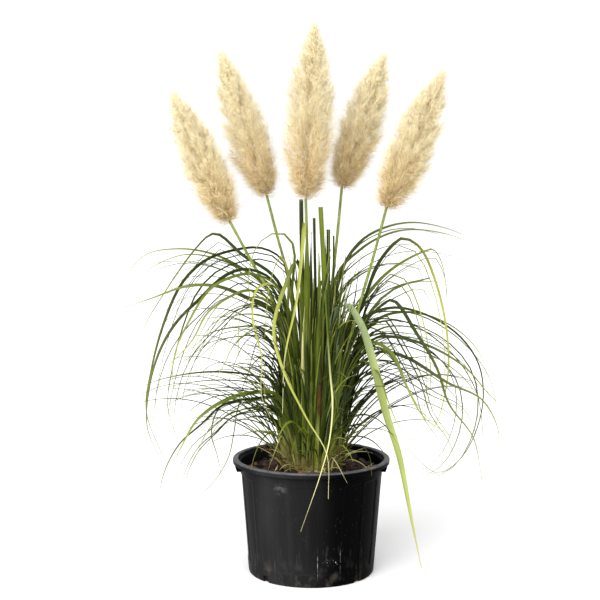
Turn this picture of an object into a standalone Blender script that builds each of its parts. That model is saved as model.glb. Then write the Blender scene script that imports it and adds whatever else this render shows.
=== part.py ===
"""A pampas grass in a ten litre nursery pot: pot, compost, culms, plumes, leaves and leafy shoots.

Metres, +Z up. The origin is the middle of the pot's flat base, and -Y is the front.
"""

import math

import bmesh
import bpy
from mathutils import Matrix, Vector

for old in list(bpy.data.objects):
    bpy.data.objects.remove(old)

# Driving dimensions
CM = 0.01
MM = 0.001
GAP = 0.3 * MM

POT_HEIGHT = 205 * MM
RIM_RADIUS = 140 * MM
RIM_INNER_RADIUS = 130 * MM
RIM_HEIGHT = 10 * MM
WALL_TOP_RADIUS = 128 * MM
BASE_RADIUS = 112 * MM
WALL = 2 * MM
POT_SIDES = 28
LIP_ROUND = 3 * MM
NOTCH_WIDTH = 14 * MM
NOTCH_HEIGHT = 13 * MM
NOTCH_DEPTH = 6 * MM
NOTCH_ANGLES = (45, 135, 225, 315)

SOIL_TOP = 186 * MM
CROWN_RADIUS = 60 * MM
SOIL_DIP = 6 * MM
SOIL_LUMP = 2.5 * MM

CULM_RADIUS = 3 * MM
RING_RADII = (0, 13 * MM, 26 * MM, 39 * MM, 51 * MM)

SPAN_SAMPLES = 12
CULM_STEPS = 6
BLADE_STEPS = 13
BEND_WEIGHT = 0.09
KEEL = 0.36
TAPER_START = 0.3
BROAD_WIDTH = 13 * MM
BROAD_TAPER_START = 0.5
TAPER_POWER = 1.2
NECK_SHARE = 0.72

plant = bpy.data.collections.new("potted_pampas_grass")
cutters = bpy.data.collections.new("cutters")
for group in (plant, cutters):
    bpy.context.scene.collection.children.link(group)


def finish(name, colour, roughness):
    """A plain material of one colour."""
    material = bpy.data.materials.new(name)
    material.use_nodes = True
    shader = material.node_tree.nodes["Principled BSDF"]
    shader.inputs["Base Color"].default_value = (*colour, 1)
    shader.inputs["Roughness"].default_value = roughness
    return material


BLACK_PLASTIC = finish("black_plastic", (0.022, 0.022, 0.024), 0.45)
COMPOST = finish("compost", (0.045, 0.028, 0.018), 0.95)
CULM_GREEN = finish("culm_green", (0.26, 0.36, 0.07), 0.5)
PLUME_CREAM = finish("plume_cream", (0.82, 0.68, 0.44), 0.9)
DARK_GREEN = finish("leaf_dark_green", (0.06, 0.13, 0.025), 0.5)
MID_GREEN = finish("leaf_mid_green", (0.16, 0.28, 0.05), 0.5)
YELLOW_GREEN = finish("leaf_yellow_green", (0.50, 0.56, 0.12), 0.55)
PALE_STRAW = finish("leaf_pale_straw", (0.72, 0.72, 0.45), 0.6)


def add_object(name, data, material, group=plant):
    """An object of its own for a mesh or a curve."""
    piece = bpy.data.objects.new(name, data)
    data.materials.append(material)
    group.objects.link(piece)
    return piece


def as_cutter(piece):
    piece.hide_render = True
    piece.display_type = "WIRE"


def mesh_from(form, name):
    """A mesh from a bmesh, with its faces turned outwards."""
    bmesh.ops.recalc_face_normals(form, faces=form.faces)
    mesh = bpy.data.meshes.new(name)
    form.to_mesh(mesh)
    form.free()
    return mesh


def polar(radius, degrees, height=0.0):
    angle = math.radians(degrees)
    return Vector((radius * math.cos(angle), radius * math.sin(angle), height))


def heading(a, b, c, span):
    """The slope at b of a smooth curve through a, b and c, for a span of the given weight."""
    before = math.sqrt((b - a).length)
    after = math.sqrt((c - b).length)
    return ((b - a) / before - (c - a) / (before + after) + (c - b) / after) * span


def smooth_route(points, steps, bend_weight=0.0):
    """Points along a centripetal Catmull-Rom curve: evenly spaced, or closer where it bends."""
    ends = [2 * points[0] - points[1], *points, 2 * points[-1] - points[-2]]
    fine = []
    for a, b, c, d in zip(ends, ends[1:], ends[2:], ends[3:]):
        span = math.sqrt((c - b).length)
        leaving = heading(a, b, c, span)
        arriving = heading(b, c, d, span)
        for k in range(SPAN_SAMPLES):
            t = k / SPAN_SAMPLES
            fine.append(
                b * (2 * t ** 3 - 3 * t ** 2 + 1) + leaving * (t ** 3 - 2 * t ** 2 + t)
                + c * (3 * t ** 2 - 2 * t ** 3) + arriving * (t ** 3 - t ** 2)
            )
    fine.append(points[-1])
    run = [0.0]
    before = fine[1] - fine[0]
    for a, b in zip(fine, fine[1:]):
        run.append(run[-1] + (b - a).length + bend_weight * (b - a).angle(before))
        before = b - a
    route = []
    j = 0
    for k in range(steps + 1):
        goal = run[-1] * k / steps
        while j < len(run) - 2 and run[j + 1] < goal:
            j += 1
        route.append(fine[j].lerp(fine[j + 1], (goal - run[j]) / (run[j + 1] - run[j])))
    return route


# The pot is one moulding: a tapered wall with a rolled lip, and four drain notches at its foot.
def make_pot():
    lip_base = POT_HEIGHT - RIM_HEIGHT
    outline = (
        (0, WALL),
        (BASE_RADIUS - WALL, WALL),
        (WALL_TOP_RADIUS - WALL, lip_base + LIP_ROUND),
        (RIM_INNER_RADIUS, POT_HEIGHT - LIP_ROUND / 2),
        (RIM_INNER_RADIUS + LIP_ROUND, POT_HEIGHT),
        (RIM_RADIUS - LIP_ROUND, POT_HEIGHT),
        (RIM_RADIUS, POT_HEIGHT - LIP_ROUND),
        (RIM_RADIUS, lip_base + WALL),
        (RIM_RADIUS - WALL, lip_base),
        (WALL_TOP_RADIUS, lip_base),
        (BASE_RADIUS, 1 * MM),
        (BASE_RADIUS - 1 * MM, 0),
        (0, 0),
    )
    form = bmesh.new()
    corners = [form.verts.new((r, 0, z)) for r, z in outline]
    for a, b in zip(corners, corners[1:]):
        form.edges.new((a, b))
    profile = bpy.data.meshes.new("pot")
    form.to_mesh(profile)
    form.free()
    pot = add_object("pot", profile, BLACK_PLASTIC)
    screw = pot.modifiers.new("turned", "SCREW")
    screw.steps = screw.render_steps = POT_SIDES
    screw.use_merge_vertices = True
    screw.merge_threshold = 0.0001
    for degrees in NOTCH_ANGLES:
        bpy.ops.mesh.primitive_cube_add(size=1)
        notch = bpy.context.object
        notch.name = f"notch_{degrees}"
        notch.matrix_world = (
            Matrix.Rotation(math.radians(degrees), 4, "Z")
            @ Matrix.Translation((BASE_RADIUS, 0, 0))
            @ Matrix.Diagonal((2 * NOTCH_DEPTH, NOTCH_WIDTH, 2 * NOTCH_HEIGHT, 1))
        )
        for home in notch.users_collection:
            home.objects.unlink(notch)
        cutters.objects.link(notch)
        as_cutter(notch)
        cut = pot.modifiers.new(notch.name, "BOOLEAN")
        cut.operation = "DIFFERENCE"
        cut.object = notch
        cut.solver = "EXACT"


# The compost fills the pot to about two centimetres under its lip, flat where the clump grows.
def make_soil():
    room = WALL + GAP
    slope = (WALL_TOP_RADIUS - BASE_RADIUS) / (POT_HEIGHT - RIM_HEIGHT)
    edge_height = SOIL_TOP - SOIL_DIP
    top_radius = BASE_RADIUS - room + slope * edge_height - 0.5 * MM
    outline = (
        (0, SOIL_TOP),
        (CROWN_RADIUS, SOIL_TOP),
        (0.62 * top_radius, SOIL_TOP - 0.5 * SOIL_DIP),
        (0.76 * top_radius, edge_height),
        (0.89 * top_radius, edge_height),
        (top_radius, edge_height - 2 * MM),
        (BASE_RADIUS - room - 0.5 * MM, WALL + GAP),
        (0, WALL + GAP),
    )
    form = bmesh.new()
    corners = [form.verts.new((r, 0, z)) for r, z in outline]
    for a, b in zip(corners, corners[1:]):
        form.edges.new((a, b))
    bmesh.ops.spin(
        form, geom=form.verts[:] + form.edges[:], cent=(0, 0, 0), axis=(0, 0, 1),
        angle=math.tau, steps=POT_SIDES, use_merge=True,
    )
    bmesh.ops.remove_doubles(form, verts=form.verts, dist=1e-5)
    for v in form.verts:
        radius = v.co.xy.length
        if CROWN_RADIUS * 1.05 < radius < 0.95 * top_radius and v.co.z > 0.1:
            lump = math.sin(61 * v.co.x + 2) * math.cos(83 * v.co.y) + math.sin(157 * v.co.x * v.co.y / 0.01)
            v.co.z += SOIL_LUMP * lump
    add_object("soil", mesh_from(form, "soil"), COMPOST)


# A culm is the round green stem under a plume. Its route is in centimetres, from the compost up.
CULMS = (
    ((2, 165), (-4.4, 1.2, 36), (-7, 1.8, 48.5), (-11, 2, 56), (-14.5, 2, 62.5)),
    ((2, 120), (-2.4, 3.4, 40), (-4.2, 4.6, 52.5), (-6.2, 5.4, 60), (-8, 6, 67)),
    ((0, 0), (-0.2, -0.4, 35), (-0.5, -0.8, 50), (-0.8, -1, 60), (-1, -1, 66.5)),
    ((2, 60), (2.6, 2.6, 40), (4, 3.4, 53.5), (4.8, 4.2, 61), (5.5, 5, 68.5)),
    ((2, 330), (4.8, -1.6, 34), (8.3, -2.2, 47.5), (10.8, -2.6, 56.5), (13, -3, 65)),
)

# Where each plume ends, in centimetres, and its widest radius.
PLUMES = (
    ((-24.6, 3, 85.2), 39 * MM),
    ((-16.4, 8.5, 92.8), 41 * MM),
    ((0.5, -1, 96.8), 46 * MM),
    ((13.1, 7, 92.3), 40 * MM),
    ((22.4, -4, 88.2), 41 * MM),
)
PLUME_SIDES = 9
PLUME_ROWS = 10
CAGE_TOP = 0.91
PLUME_WAIST = 0.33
LOCK_OUT = 0.30
LOCK_UP = 1.0


def base_point(spot):
    ring, degrees = spot
    return polar(RING_RADII[ring], degrees, SOIL_TOP + GAP)


def full_route(spot, via):
    return [base_point(spot), *(Vector(p) * CM for p in via)]


def make_culm(number, spot, *via):
    curve = bpy.data.curves.new(f"culm_{number}", "CURVE")
    curve.dimensions = "3D"
    curve.bevel_depth = CULM_RADIUS
    curve.bevel_resolution = 1
    curve.use_fill_caps = True
    route = smooth_route(full_route(spot, via), CULM_STEPS)
    route[0].z += 2 * MM
    spline = curve.splines.new("POLY")
    spline.points.add(len(route) - 1)
    for point, place, share in zip(spline.points, route, range(len(route))):
        point.co = (*place, 1)
        point.radius = 1.15 - 0.35 * share / (len(route) - 1)
    add_object(f"culm_{number}", curve, CULM_GREEN)


# A plume is a spindle of upswept locks: every face of a twisted cage is raised to a point.
def plume_radius(share, widest):
    """Blunt and round below, widest at a third of its height and pointed above."""
    if share < PLUME_WAIST:
        return widest * math.sqrt(1 - 0.93 * (1 - share / PLUME_WAIST) ** 2)
    return widest * (1 - ((share - PLUME_WAIST) / (1 - PLUME_WAIST)) ** 1.7)


def make_plume(number, foot, tip, widest):
    axis = (tip - foot).normalized()
    foot = foot + axis * (GAP + 1 * MM)
    length = (tip - foot).length
    across = axis.orthogonal().normalized()
    beside = axis.cross(across)
    form = bmesh.new()
    rings = []
    for row in range(PLUME_ROWS + 1):
        share = CAGE_TOP * row / PLUME_ROWS
        radius = plume_radius(share, widest) * (1 - 0.7 * LOCK_OUT)
        ring = []
        for side in range(PLUME_SIDES):
            turn = math.tau * (side + row / 2) / PLUME_SIDES
            out = across * math.cos(turn) + beside * math.sin(turn)
            ring.append(form.verts.new(foot + axis * length * share + out * radius))
        rings.append(ring)
    form.faces.new(rings[0])
    form.faces.new(rings[-1])
    flanks = []
    for low, high in zip(rings, rings[1:]):
        for side in range(PLUME_SIDES):
            after = (side + 1) % PLUME_SIDES
            flanks.append(form.faces.new((low[side], low[after], high[after], high[side])))
    bmesh.ops.recalc_face_normals(form, faces=form.faces)
    raised = bmesh.ops.poke(form, faces=flanks)["verts"]
    for v in raised:
        out = v.co - foot
        out -= axis * out.dot(axis)
        v.co += out * LOCK_OUT + axis * LOCK_UP * length / PLUME_ROWS
    crown = bmesh.ops.poke(form, faces=[f for f in form.faces if len(f.verts) > 4 and f.normal.dot(axis) > 0])
    crown["verts"][0].co = tip
    add_object(f"plume_{number}", mesh_from(form, f"plume_{number}"), PLUME_CREAM)


def blade_form(form, route, width, side, cut=False, keel=KEEL):
    """Lofts a folded blade along a route: a V section, narrow at the sheath and drawn out to a point."""
    steps = len(route) - 1
    full = TAPER_START if width < BROAD_WIDTH else BROAD_TAPER_START
    rings = []
    for k, place in enumerate(route):
        share = k / steps
        ahead = (route[min(k + 1, steps)] - route[max(k - 1, 0)]).normalized()
        edge = (side - ahead * side.dot(ahead)).normalized()
        under = edge.cross(ahead)
        taper = 1 - max(0.0, (share - full) / (1 - full)) ** TAPER_POWER
        if cut:
            taper = 1 - 0.2 * share
        half = width / 2 * min(1.0, NECK_SHARE + 1.4 * share) * taper
        if k == steps and not cut:
            rings.append([form.verts.new(place)])
            continue
        rings.append([
            form.verts.new(place + edge * half),
            form.verts.new(place - edge * half),
            form.verts.new(place + under * max(2 * keel * half, 0.6 * MM)),
        ])
    form.faces.new(rings[0])
    for low, high in zip(rings, rings[1:]):
        for i in range(3):
            j = (i + 1) % 3
            if len(high) == 1:
                form.faces.new((low[i], low[j], high[0]))
            else:
                form.faces.new((low[i], low[j], high[j], high[i]))
    if cut:
        form.faces.new(rings[-1])


def side_of(route):
    """The level direction across a leaf, square to the way that it leans."""
    lean = route[-1] - route[0]
    return Vector((-lean.y, lean.x, 0)).normalized()


# Single leaves: name, width in mm, spot in the clump (ring, degrees), colour and route in centimetres.
LEAVES = (
    ("leaf_left_1", 8, (3, 160), DARK_GREEN,
     (-5.6, 3.4, 51), (-12.5, 3.8, 56.5), (-16.5, 4, 60), (-18, 4, 60), (-21.5, 4, 56.5),
     (-29, 5, 45.5), (-32, 5.5, 40.5), (-34, 6, 40)),
    ("leaf_left_2", 6, (3, 140), MID_GREEN,
     (-6.5, 5, 49.5), (-11.5, 7.5, 53), (-17.5, 10, 56), (-24.5, 12.5, 57), (-31.5, 15, 55.5),
     (-36, 17.5, 49.5), (-36.5, 20, 47.5)),
    ("leaf_left_3", 5.5, (3, 120), MID_GREEN,
     (-7, 7, 48), (-10.5, 11, 52), (-17.5, 14.5, 55), (-24.5, 18.5, 55.5), (-32, 22, 52), (-36.5, 26, 46.5)),
    ("leaf_left_4", 8, (2, 150), DARK_GREEN,
     (-4.4, 2.2, 54.5), (-8.5, 4, 57.5), (-14.5, 5.5, 57), (-19.5, 6.5, 55), (-23.5, 7, 51),
     (-27, 8, 43.5), (-29.5, 8.5, 34.5), (-30.5, 9, 27), (-27.5, 10, 18)),
    ("leaf_left_5", 11, (3, 200), DARK_GREEN,
     (-6.5, -3, 46.5), (-11.5, -4, 49.5), (-16.5, -5, 51.5), (-21.5, -6, 51.5), (-27.5, -7, 49.5),
     (-32, -8, 48)),
    ("leaf_left_6", 9, (2, 180), DARK_GREEN,
     (-6, 0, 51), (-11, 0.5, 54), (-15, 1, 53), (-20, 1, 48.5), (-24, 1.5, 44.5),
     (-27, 2, 39.5), (-29, 2, 33), (-29.5, 2.5, 25), (-27, 3, 19)),
    ("leaf_left_7", 7, (2, 210), MID_GREEN,
     (-5, -2.6, 50), (-10, -4.5, 53.5), (-14, -6, 53), (-17.5, -7.5, 51), (-21, -9, 45.5),
     (-23, -10, 41), (-23.5, -11, 36.5), (-21.5, -12.5, 31)),
    ("leaf_left_8", 6.5, (3, 220), MID_GREEN,
     (-6, -5, 47.5), (-10.5, -8, 51), (-14, -10.5, 50), (-17.5, -12.5, 47.5), (-20, -14, 43), (-26, -17, 37)),
    ("leaf_left_9", 7, (4, 165), DARK_GREEN,
     (-6.5, 2, 33.5), (-10, 3.5, 34.5), (-15.5, 5, 35), (-21.5, 7, 34.5), (-28, 8.5, 33), (-32.5, 10, 31)),
    ("leaf_left_10", 9, (4, 210), DARK_GREEN,
     (-6, -4, 31.5), (-10, -5.5, 32), (-15.5, -7, 31), (-19, -8.5, 28), (-22.5, -10, 25),
     (-25, -11.5, 20.5), (-26, -13, 15.5)),
    ("leaf_left_11", 8, (4, 225), MID_GREEN,
     (-5.6, -6.2, 32.5), (-10.5, -9, 33.5), (-15, -11.5, 32.5), (-19, -14.5, 30), (-21.5, -17.5, 26),
     (-23, -20, 23)),
    ("leaf_left_12", 5, (2, 240), YELLOW_GREEN,
     (-4, -5, 48), (-7, -6.5, 52), (-9.5, -8, 51), (-10, -9.5, 46), (-8.5, -10.5, 40),
     (-8.5, -11.5, 33.5), (-7, -13, 30)),
    ("leaf_left_13", 8, (1, 240), YELLOW_GREEN,
     (-1.6, -3, 40), (-2, -3.6, 54.5), (-2.7, -4.6, 56), (-4, -5.5, 53), (-6.5, -7.5, 44.5),
     (-5, -10, 38), (-1, -12.5, 30), (2.5, -14.6, 24), (2.7, -16.5, 17)),
    ("leaf_left_14", 8, (1, 300), YELLOW_GREEN,
     (-0.2, -2.2, 40), (-0.8, -2.4, 61.5), (-1.1, -3, 62.5), (-1.6, -4.2, 58), (-2.6, -5.8, 49),
     (-4.6, -7.6, 39.5), (-5, -9, 30)),
    ("leaf_left_15", 4.5, (3, 100), MID_GREEN,
     (-3.6, 6.2, 37), (-9, 9.5, 42.5), (-13.5, 11.5, 42.5), (-19, 14, 41), (-23, 17, 37.5), (-29, 20, 33.5)),
    ("leaf_left_16", 4.5, (3, 80), MID_GREEN,
     (-3.5, 6.5, 42), (-9, 12, 44.5), (-14.5, 17, 44), (-19, 21.5, 41), (-22, 26, 35)),
    ("leaf_right_1", 7, (2, 30), DARK_GREEN,
     (5, 3.6, 52), (8.5, 5.3, 58.3), (13, 7, 61), (18.5, 9, 62), (24.5, 10.5, 61), (31, 12, 58.5)),
    ("leaf_right_2", 6, (3, 40), MID_GREEN,
     (4.5, 6, 52), (9, 9, 57), (13.5, 11.5, 59.5), (18.5, 14.5, 60.5), (26, 17, 59.5), (36, 20, 55.5)),
    ("leaf_right_3", 9, (3, 0), DARK_GREEN,
     (6.2, 0, 40), (9.5, 0, 49), (11.5, 0, 54.5), (14, 0, 58), (16, 0, 59.5), (19, 0, 58),
     (22, -0.5, 51.5), (24, -1, 42), (24, -1.5, 34.5), (21.5, -2, 26), (18, -2.5, 24), (16, -3, 24.5)),
    ("leaf_right_4", 7, (3, 20), MID_GREEN,
     (6, 3.5, 42), (10.5, 5, 49.5), (14.5, 6.5, 53.5), (20, 8, 56.5), (22.5, 9, 57), (24.5, 10.5, 53.5),
     (25.5, 12, 44.5)),
    ("leaf_right_5", 5, (3, 60), DARK_GREEN,
     (5, 6, 41), (10.5, 9, 47.5), (13.5, 12, 49), (17, 15.5, 50), (23, 20, 51)),
    ("leaf_right_6", 16, (3, 300), MID_GREEN,
     (3, -3.6, 40), (4.3, -4.4, 47.5), (6, -6, 48.5), (8.5, -8.5, 45), (10.5, -10.5, 38.5),
     (12.5, -12.5, 30.5), (14.5, -14.5, 24), (16.5, -17, 13.5), (18, -19, 6)),
    ("leaf_right_7", 8, (3, 340), DARK_GREEN,
     (6.7, -3, 41), (11.5, -3.7, 47.5), (14, -4.5, 49), (18, -6, 43.5), (21.5, -7.5, 37.5),
     (23.5, -8.5, 31.5), (27.5, -10, 26), (29, -11, 18.5)),
    ("leaf_right_8", 7, (4, 0), DARK_GREEN,
     (6.5, 1, 38), (9.5, 2, 45), (14.5, 2.5, 47), (21, 3, 45.5), (27, 3.2, 41.5), (30.5, 3.5, 36),
     (31, 4, 28), (27.5, 4, 19.5), (23, 4.5, 16.5), (17, 5, 21.5)),
    ("leaf_right_9", 6, (4, 30), MID_GREEN,
     (7.5, 4, 38), (12, 5.5, 44.5), (18.5, 9, 45.5), (26.5, 12.5, 42.5), (32.5, 16.5, 36.5), (34.5, 20, 30)),
    ("leaf_right_10", 7, (4, 345), DARK_GREEN,
     (6.5, -1.5, 36), (11, -2.5, 42), (14, -3.5, 42.5), (20.5, -5, 41), (26.5, -7, 37.5),
     (31, -8.5, 32.5), (34, -10, 30.5)),
    ("leaf_right_11", 7, (4, 330), DARK_GREEN,
     (6.5, -3.5, 34.5), (11.5, -5.5, 40), (16, -7.5, 39.5), (23, -10.5, 35.5), (28.5, -13, 33),
     (31, -15, 28), (30.5, -16.5, 25)),
    ("leaf_right_12", 7.5, (4, 315), MID_GREEN,
     (5.5, -5, 35), (10, -7.5, 42), (13.5, -10, 40.5), (16, -12.5, 35), (18.5, -15, 30.5), (22.5, -18, 28)),
    ("leaf_back_1", 7, (2, 90), DARK_GREEN,
     (0.5, 6, 44), (1.5, 10.5, 50), (3.5, 16, 51), (5.5, 22, 46), (7, 26.5, 37)),
    ("leaf_back_2", 6, (4, 105), MID_GREEN,
     (-1.6, 7.4, 38), (-5, 13, 42), (-9.5, 19.5, 40), (-12, 25, 33), (-13.5, 28.5, 24)),
    ("leaf_back_3", 6, (4, 60), MID_GREEN,
     (4, 6.5, 38), (8, 12, 42), (13, 18.5, 41), (18, 24, 35), (21, 27.5, 27)),
    ("leaf_back_4", 7, (4, 90), DARK_GREEN,
     (0, 6.6, 36), (0.5, 12, 41), (0, 18.5, 41), (-1, 24, 35), (-1.5, 27.5, 26)),
    ("leaf_front_1", 6, (3, 285), PALE_STRAW,
     (1.9, -5.2, 40), (2.1, -5.8, 50), (2.3, -6.6, 51.2), (2.4, -7.4, 49), (3.1, -9, 37.5),
     (3.5, -11.5, 32), (2.9, -14.5, 26.4), (1.5, -17, 21.6), (-1.9, -18.5, 12)),
    ("leaf_upright_1", 9, (1, 180), DARK_GREEN, (-1.5, 0.2, 40), (-1.8, 0.7, 66.3)),
    ("leaf_upright_2", 6, (1, 60), DARK_GREEN, (0.8, 1.4, 45), (0.5, 1.7, 63)),
    ("leaf_upright_3", 10, (1, 0), MID_GREEN, (1.9, -0.2, 35), (2.3, -0.5, 50), (1.6, -1.1, 65)),
    ("leaf_upright_4", 8, (2, 0), DARK_GREEN, (3, 0.4, 40), (3, 0.7, 61)),
    ("leaf_upright_5", 4, (3, 320), DARK_GREEN, (3.8, -1.4, 45), (3.9, -0.8, 60)),
    ("leaf_upright_6", 10, (1, 120), DARK_GREEN, (-1.6, 1.9, 38), (-2.6, 2.5, 52), (-3, 2.7, 58)),
    ("leaf_upright_7", 10, (2, 300), MID_GREEN, (1.4, -2.8, 36), (1.4, -3.2, 50), (1.2, -3.5, 57)),
    ("leaf_upright_8", 9, (2, 270), DARK_GREEN, (0, -3.6, 33), (0.2, -4.6, 45), (0.2, -5.2, 52)),
)
CUT_LEAVES = (
    "leaf_upright_1", "leaf_upright_2", "leaf_upright_3", "leaf_upright_4", "leaf_upright_5", "leaf_right_5",
)


def make_leaf(name, width, spot, material, *via):
    route = smooth_route(full_route(spot, via), BLADE_STEPS, BEND_WEIGHT)
    form = bmesh.new()
    side = Vector((1, 0, 0)) if "upright" in name else side_of(route)
    blade_form(form, route, width * MM, side, cut=name in CUT_LEAVES)
    add_object(name, mesh_from(form, name), material)


# A leafy shoot is a short sheath with a fan of fine arching leaves, grown as one piece. Each has its bearing,
# half the angle of its fan, its number of blades, the length of the longest in centimetres and its colour.
SHOOTS = (
    (15, 22, 10, 40, MID_GREEN),
    (45, 20, 9, 44, DARK_GREEN),
    (130, 22, 9, 41, DARK_GREEN),
    (182, 20, 10, 38, MID_GREEN),
    (235, 18, 9, 37, MID_GREEN),
    (266, 13, 8, 18.5, DARK_GREEN),
    (300, 15, 9, 30, DARK_GREEN),
)
SHEATH_RADIUS = 4.5 * MM
SHEATH_HEIGHT = 26 * MM
SHOOT_BLADE_WIDTH = 4.5 * MM
SHOOT_KEEL = 0.45
SHOOT_STEPS = 5
ARCH_DELAY = 1.35


def arching_route(start, degrees, length, first_lean, last_lean, steps):
    """A route that leans over more and more, as a blade does under its own weight."""
    out = polar(1, degrees)
    route = [start.copy()]
    for k in range(steps):
        lean = math.radians(first_lean + (last_lean - first_lean) * ((k + 0.5) / steps) ** ARCH_DELAY)
        route.append(route[-1] + (out * math.sin(lean) + Vector((0, 0, math.cos(lean)))) * length / steps)
    return route


def make_shoot(number, degrees, fan, count, longest, material):
    foot = base_point((4, degrees))
    form = bmesh.new()
    bmesh.ops.create_cone(
        form, cap_ends=True, segments=6, radius1=SHEATH_RADIUS, radius2=SHEATH_RADIUS * 0.7,
        depth=SHEATH_HEIGHT, matrix=Matrix.Translation(foot + Vector((0, 0, SHEATH_HEIGHT / 2))),
    )
    shoot = add_object(f"shoot_{number}", mesh_from(form, f"shoot_{number}"), material)
    blades = bpy.data.collections.new(f"shoot_{number}_blades")
    cutters.children.link(blades)
    for k in range(count):
        spread = fan * (2 * k / (count - 1) - 1)
        rise = k * 0.618 % 1
        droop = (0.3 + k * 0.382) % 1
        reach = k * 0.73 % 1
        start = foot + polar(1.2 * MM, degrees + 3 * spread, SHEATH_HEIGHT * (0.45 + 0.4 * rise))
        route = arching_route(
            start, degrees + spread, longest * (0.6 + 0.4 * reach) * CM,
            6 + 36 * (1 - rise), 108 + 45 * droop, SHOOT_STEPS
        )
        form = bmesh.new()
        blade_form(form, route, SHOOT_BLADE_WIDTH, side_of(route), keel=SHOOT_KEEL)
        blade = add_object(f"shoot_{number}_blade_{k}", mesh_from(form, "blade"), material, blades)
        as_cutter(blade)
    join = shoot.modifiers.new("grown together", "BOOLEAN")
    join.operation = "UNION"
    join.operand_type = "COLLECTION"
    join.collection = blades
    join.solver = "EXACT"


make_pot()
make_soil()
for index, culm in enumerate(CULMS):
    make_culm(index + 1, *culm)
for index, (tip, widest) in enumerate(PLUMES):
    make_plume(index + 1, Vector(CULMS[index][-1]) * CM, Vector(tip) * CM, widest)
for leaf in LEAVES:
    make_leaf(*leaf)
for index, shoot in enumerate(SHOOTS):
    make_shoot(index + 1, *shoot)
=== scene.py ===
"""A pampas grass in a black nursery pot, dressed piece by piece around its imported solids.

Metres, +Z up. It is put together as the plant was grown: pot, compost, culms, plumes, leaves and shoots.
"""

import math
import random

import bmesh
import bpy
import numpy as np
from mathutils import Euler, Matrix, Vector, noise


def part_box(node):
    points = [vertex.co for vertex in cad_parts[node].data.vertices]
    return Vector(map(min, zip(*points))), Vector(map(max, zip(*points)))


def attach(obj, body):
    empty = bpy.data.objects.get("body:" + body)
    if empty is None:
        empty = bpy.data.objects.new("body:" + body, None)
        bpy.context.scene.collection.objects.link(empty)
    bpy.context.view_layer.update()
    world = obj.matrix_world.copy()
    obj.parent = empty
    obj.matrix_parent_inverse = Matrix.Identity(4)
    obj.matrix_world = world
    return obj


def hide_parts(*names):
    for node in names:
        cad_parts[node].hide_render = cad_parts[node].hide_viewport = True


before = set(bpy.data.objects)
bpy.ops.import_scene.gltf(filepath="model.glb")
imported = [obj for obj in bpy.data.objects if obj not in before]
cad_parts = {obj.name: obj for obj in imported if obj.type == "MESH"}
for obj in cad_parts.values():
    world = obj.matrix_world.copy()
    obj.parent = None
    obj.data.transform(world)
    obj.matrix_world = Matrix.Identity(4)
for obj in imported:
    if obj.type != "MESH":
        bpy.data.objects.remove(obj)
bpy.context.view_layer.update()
bpy.ops.object.select_all(action="DESELECT")

CM = 0.01
MM = 0.001


# Pot: one moulding of black polypropylene. It has a rolled lip with two ribbed grips under it, a wall of
# eighteen shallow panels and four drain notches at its foot. It is scuffed and muddy near the ground. A
# painted highlight greys a band on the left of its wall, and another the top of its lip.
POT_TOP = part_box("pot")[1].z
LIP_RADIUS = 140 * MM
LIP_INSIDE = 130 * MM
WALL_TOP_RADIUS = 128 * MM
FOOT_RADIUS = 112 * MM
WALL = 2 * MM
LIP_DROP = 9 * MM
PANELS = 18
PANEL_TURN = math.radians(5.5)
PANEL_TOP = 178 * MM
PANEL_FOOT = 24 * MM
PANEL_DEPTH = 1.3 * MM
PANEL_CORNER = 7 * MM
RIB_WIDTH = 2.6 * MM
COLUMNS = 24 * PANELS
NOTCH_TURNS = (45, 135, 225, 315)
GRIP_TURNS = (-12, -6, 0, 6, 12)


def deselect():
    """Leaves edit mode with nothing selected, so that the next operator acts on its own piece alone."""
    if bpy.context.object and bpy.context.object.mode != "OBJECT":
        bpy.ops.object.mode_set(mode="OBJECT")
    bpy.ops.object.select_all(action="DESELECT")


def choose(piece):
    deselect()
    bpy.context.view_layer.objects.active = piece
    piece.select_set(True)


def apply_all(piece):
    choose(piece)
    for modifier in list(piece.modifiers):
        bpy.ops.object.modifier_apply(modifier=modifier.name)


def wall_radius(height):
    return FOOT_RADIUS + (WALL_TOP_RADIUS - FOOT_RADIUS) * height / (POT_TOP - LIP_DROP)


def round_corner(middle, radius, first, last, steps):
    """Points on an arc of a profile, from one angle in degrees to another."""
    turns = [math.radians(first + (last - first) * k / steps) for k in range(steps + 1)]
    return [(middle[0] + radius * math.cos(t), middle[1] + radius * math.sin(t)) for t in turns]


def pot_profile():
    """Radius and height from the foot, up the outside, over the lip and down the inside to the floor."""
    rows = round_corner((FOOT_RADIUS - 3 * MM, 3 * MM), 3 * MM, -90, -4, 4)
    heights = [h * MM for h in (6, 10, 14, 18, 21, 23, 24, 25, 26, 28, 31, 35)]
    heights += [h * MM for h in range(42, 168, 9)]
    heights += [h * MM for h in (169, 172, 174, 176, 177, 178, 179, 180, 182, 186, 190)]
    rows += [(wall_radius(h), h) for h in heights]
    lip_foot = POT_TOP - LIP_DROP
    rows += [(WALL_TOP_RADIUS + 0.3 * MM, lip_foot - 1.5 * MM), (WALL_TOP_RADIUS + 1.5 * MM, lip_foot)]
    rows += [(LIP_RADIUS - 1.6 * MM, lip_foot + 0.2 * MM), (LIP_RADIUS - 0.4 * MM, lip_foot + 0.9 * MM)]
    rows += round_corner((LIP_RADIUS - 3 * MM, POT_TOP - 3 * MM), 3 * MM, 0, 90, 6)
    rows += round_corner((LIP_INSIDE + 1.6 * MM, POT_TOP - 1.6 * MM), 1.6 * MM, 90, 180, 4)
    rows += [(LIP_INSIDE - 0.4 * MM, POT_TOP - 4 * MM), (WALL_TOP_RADIUS - WALL, POT_TOP - 8 * MM)]
    rows += [(wall_radius(h * MM) - WALL, h * MM) for h in (180, 150, 110, 70, 30, 6)]
    rows += [(FOOT_RADIUS - 3 * MM, WALL)]
    return rows


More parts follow.
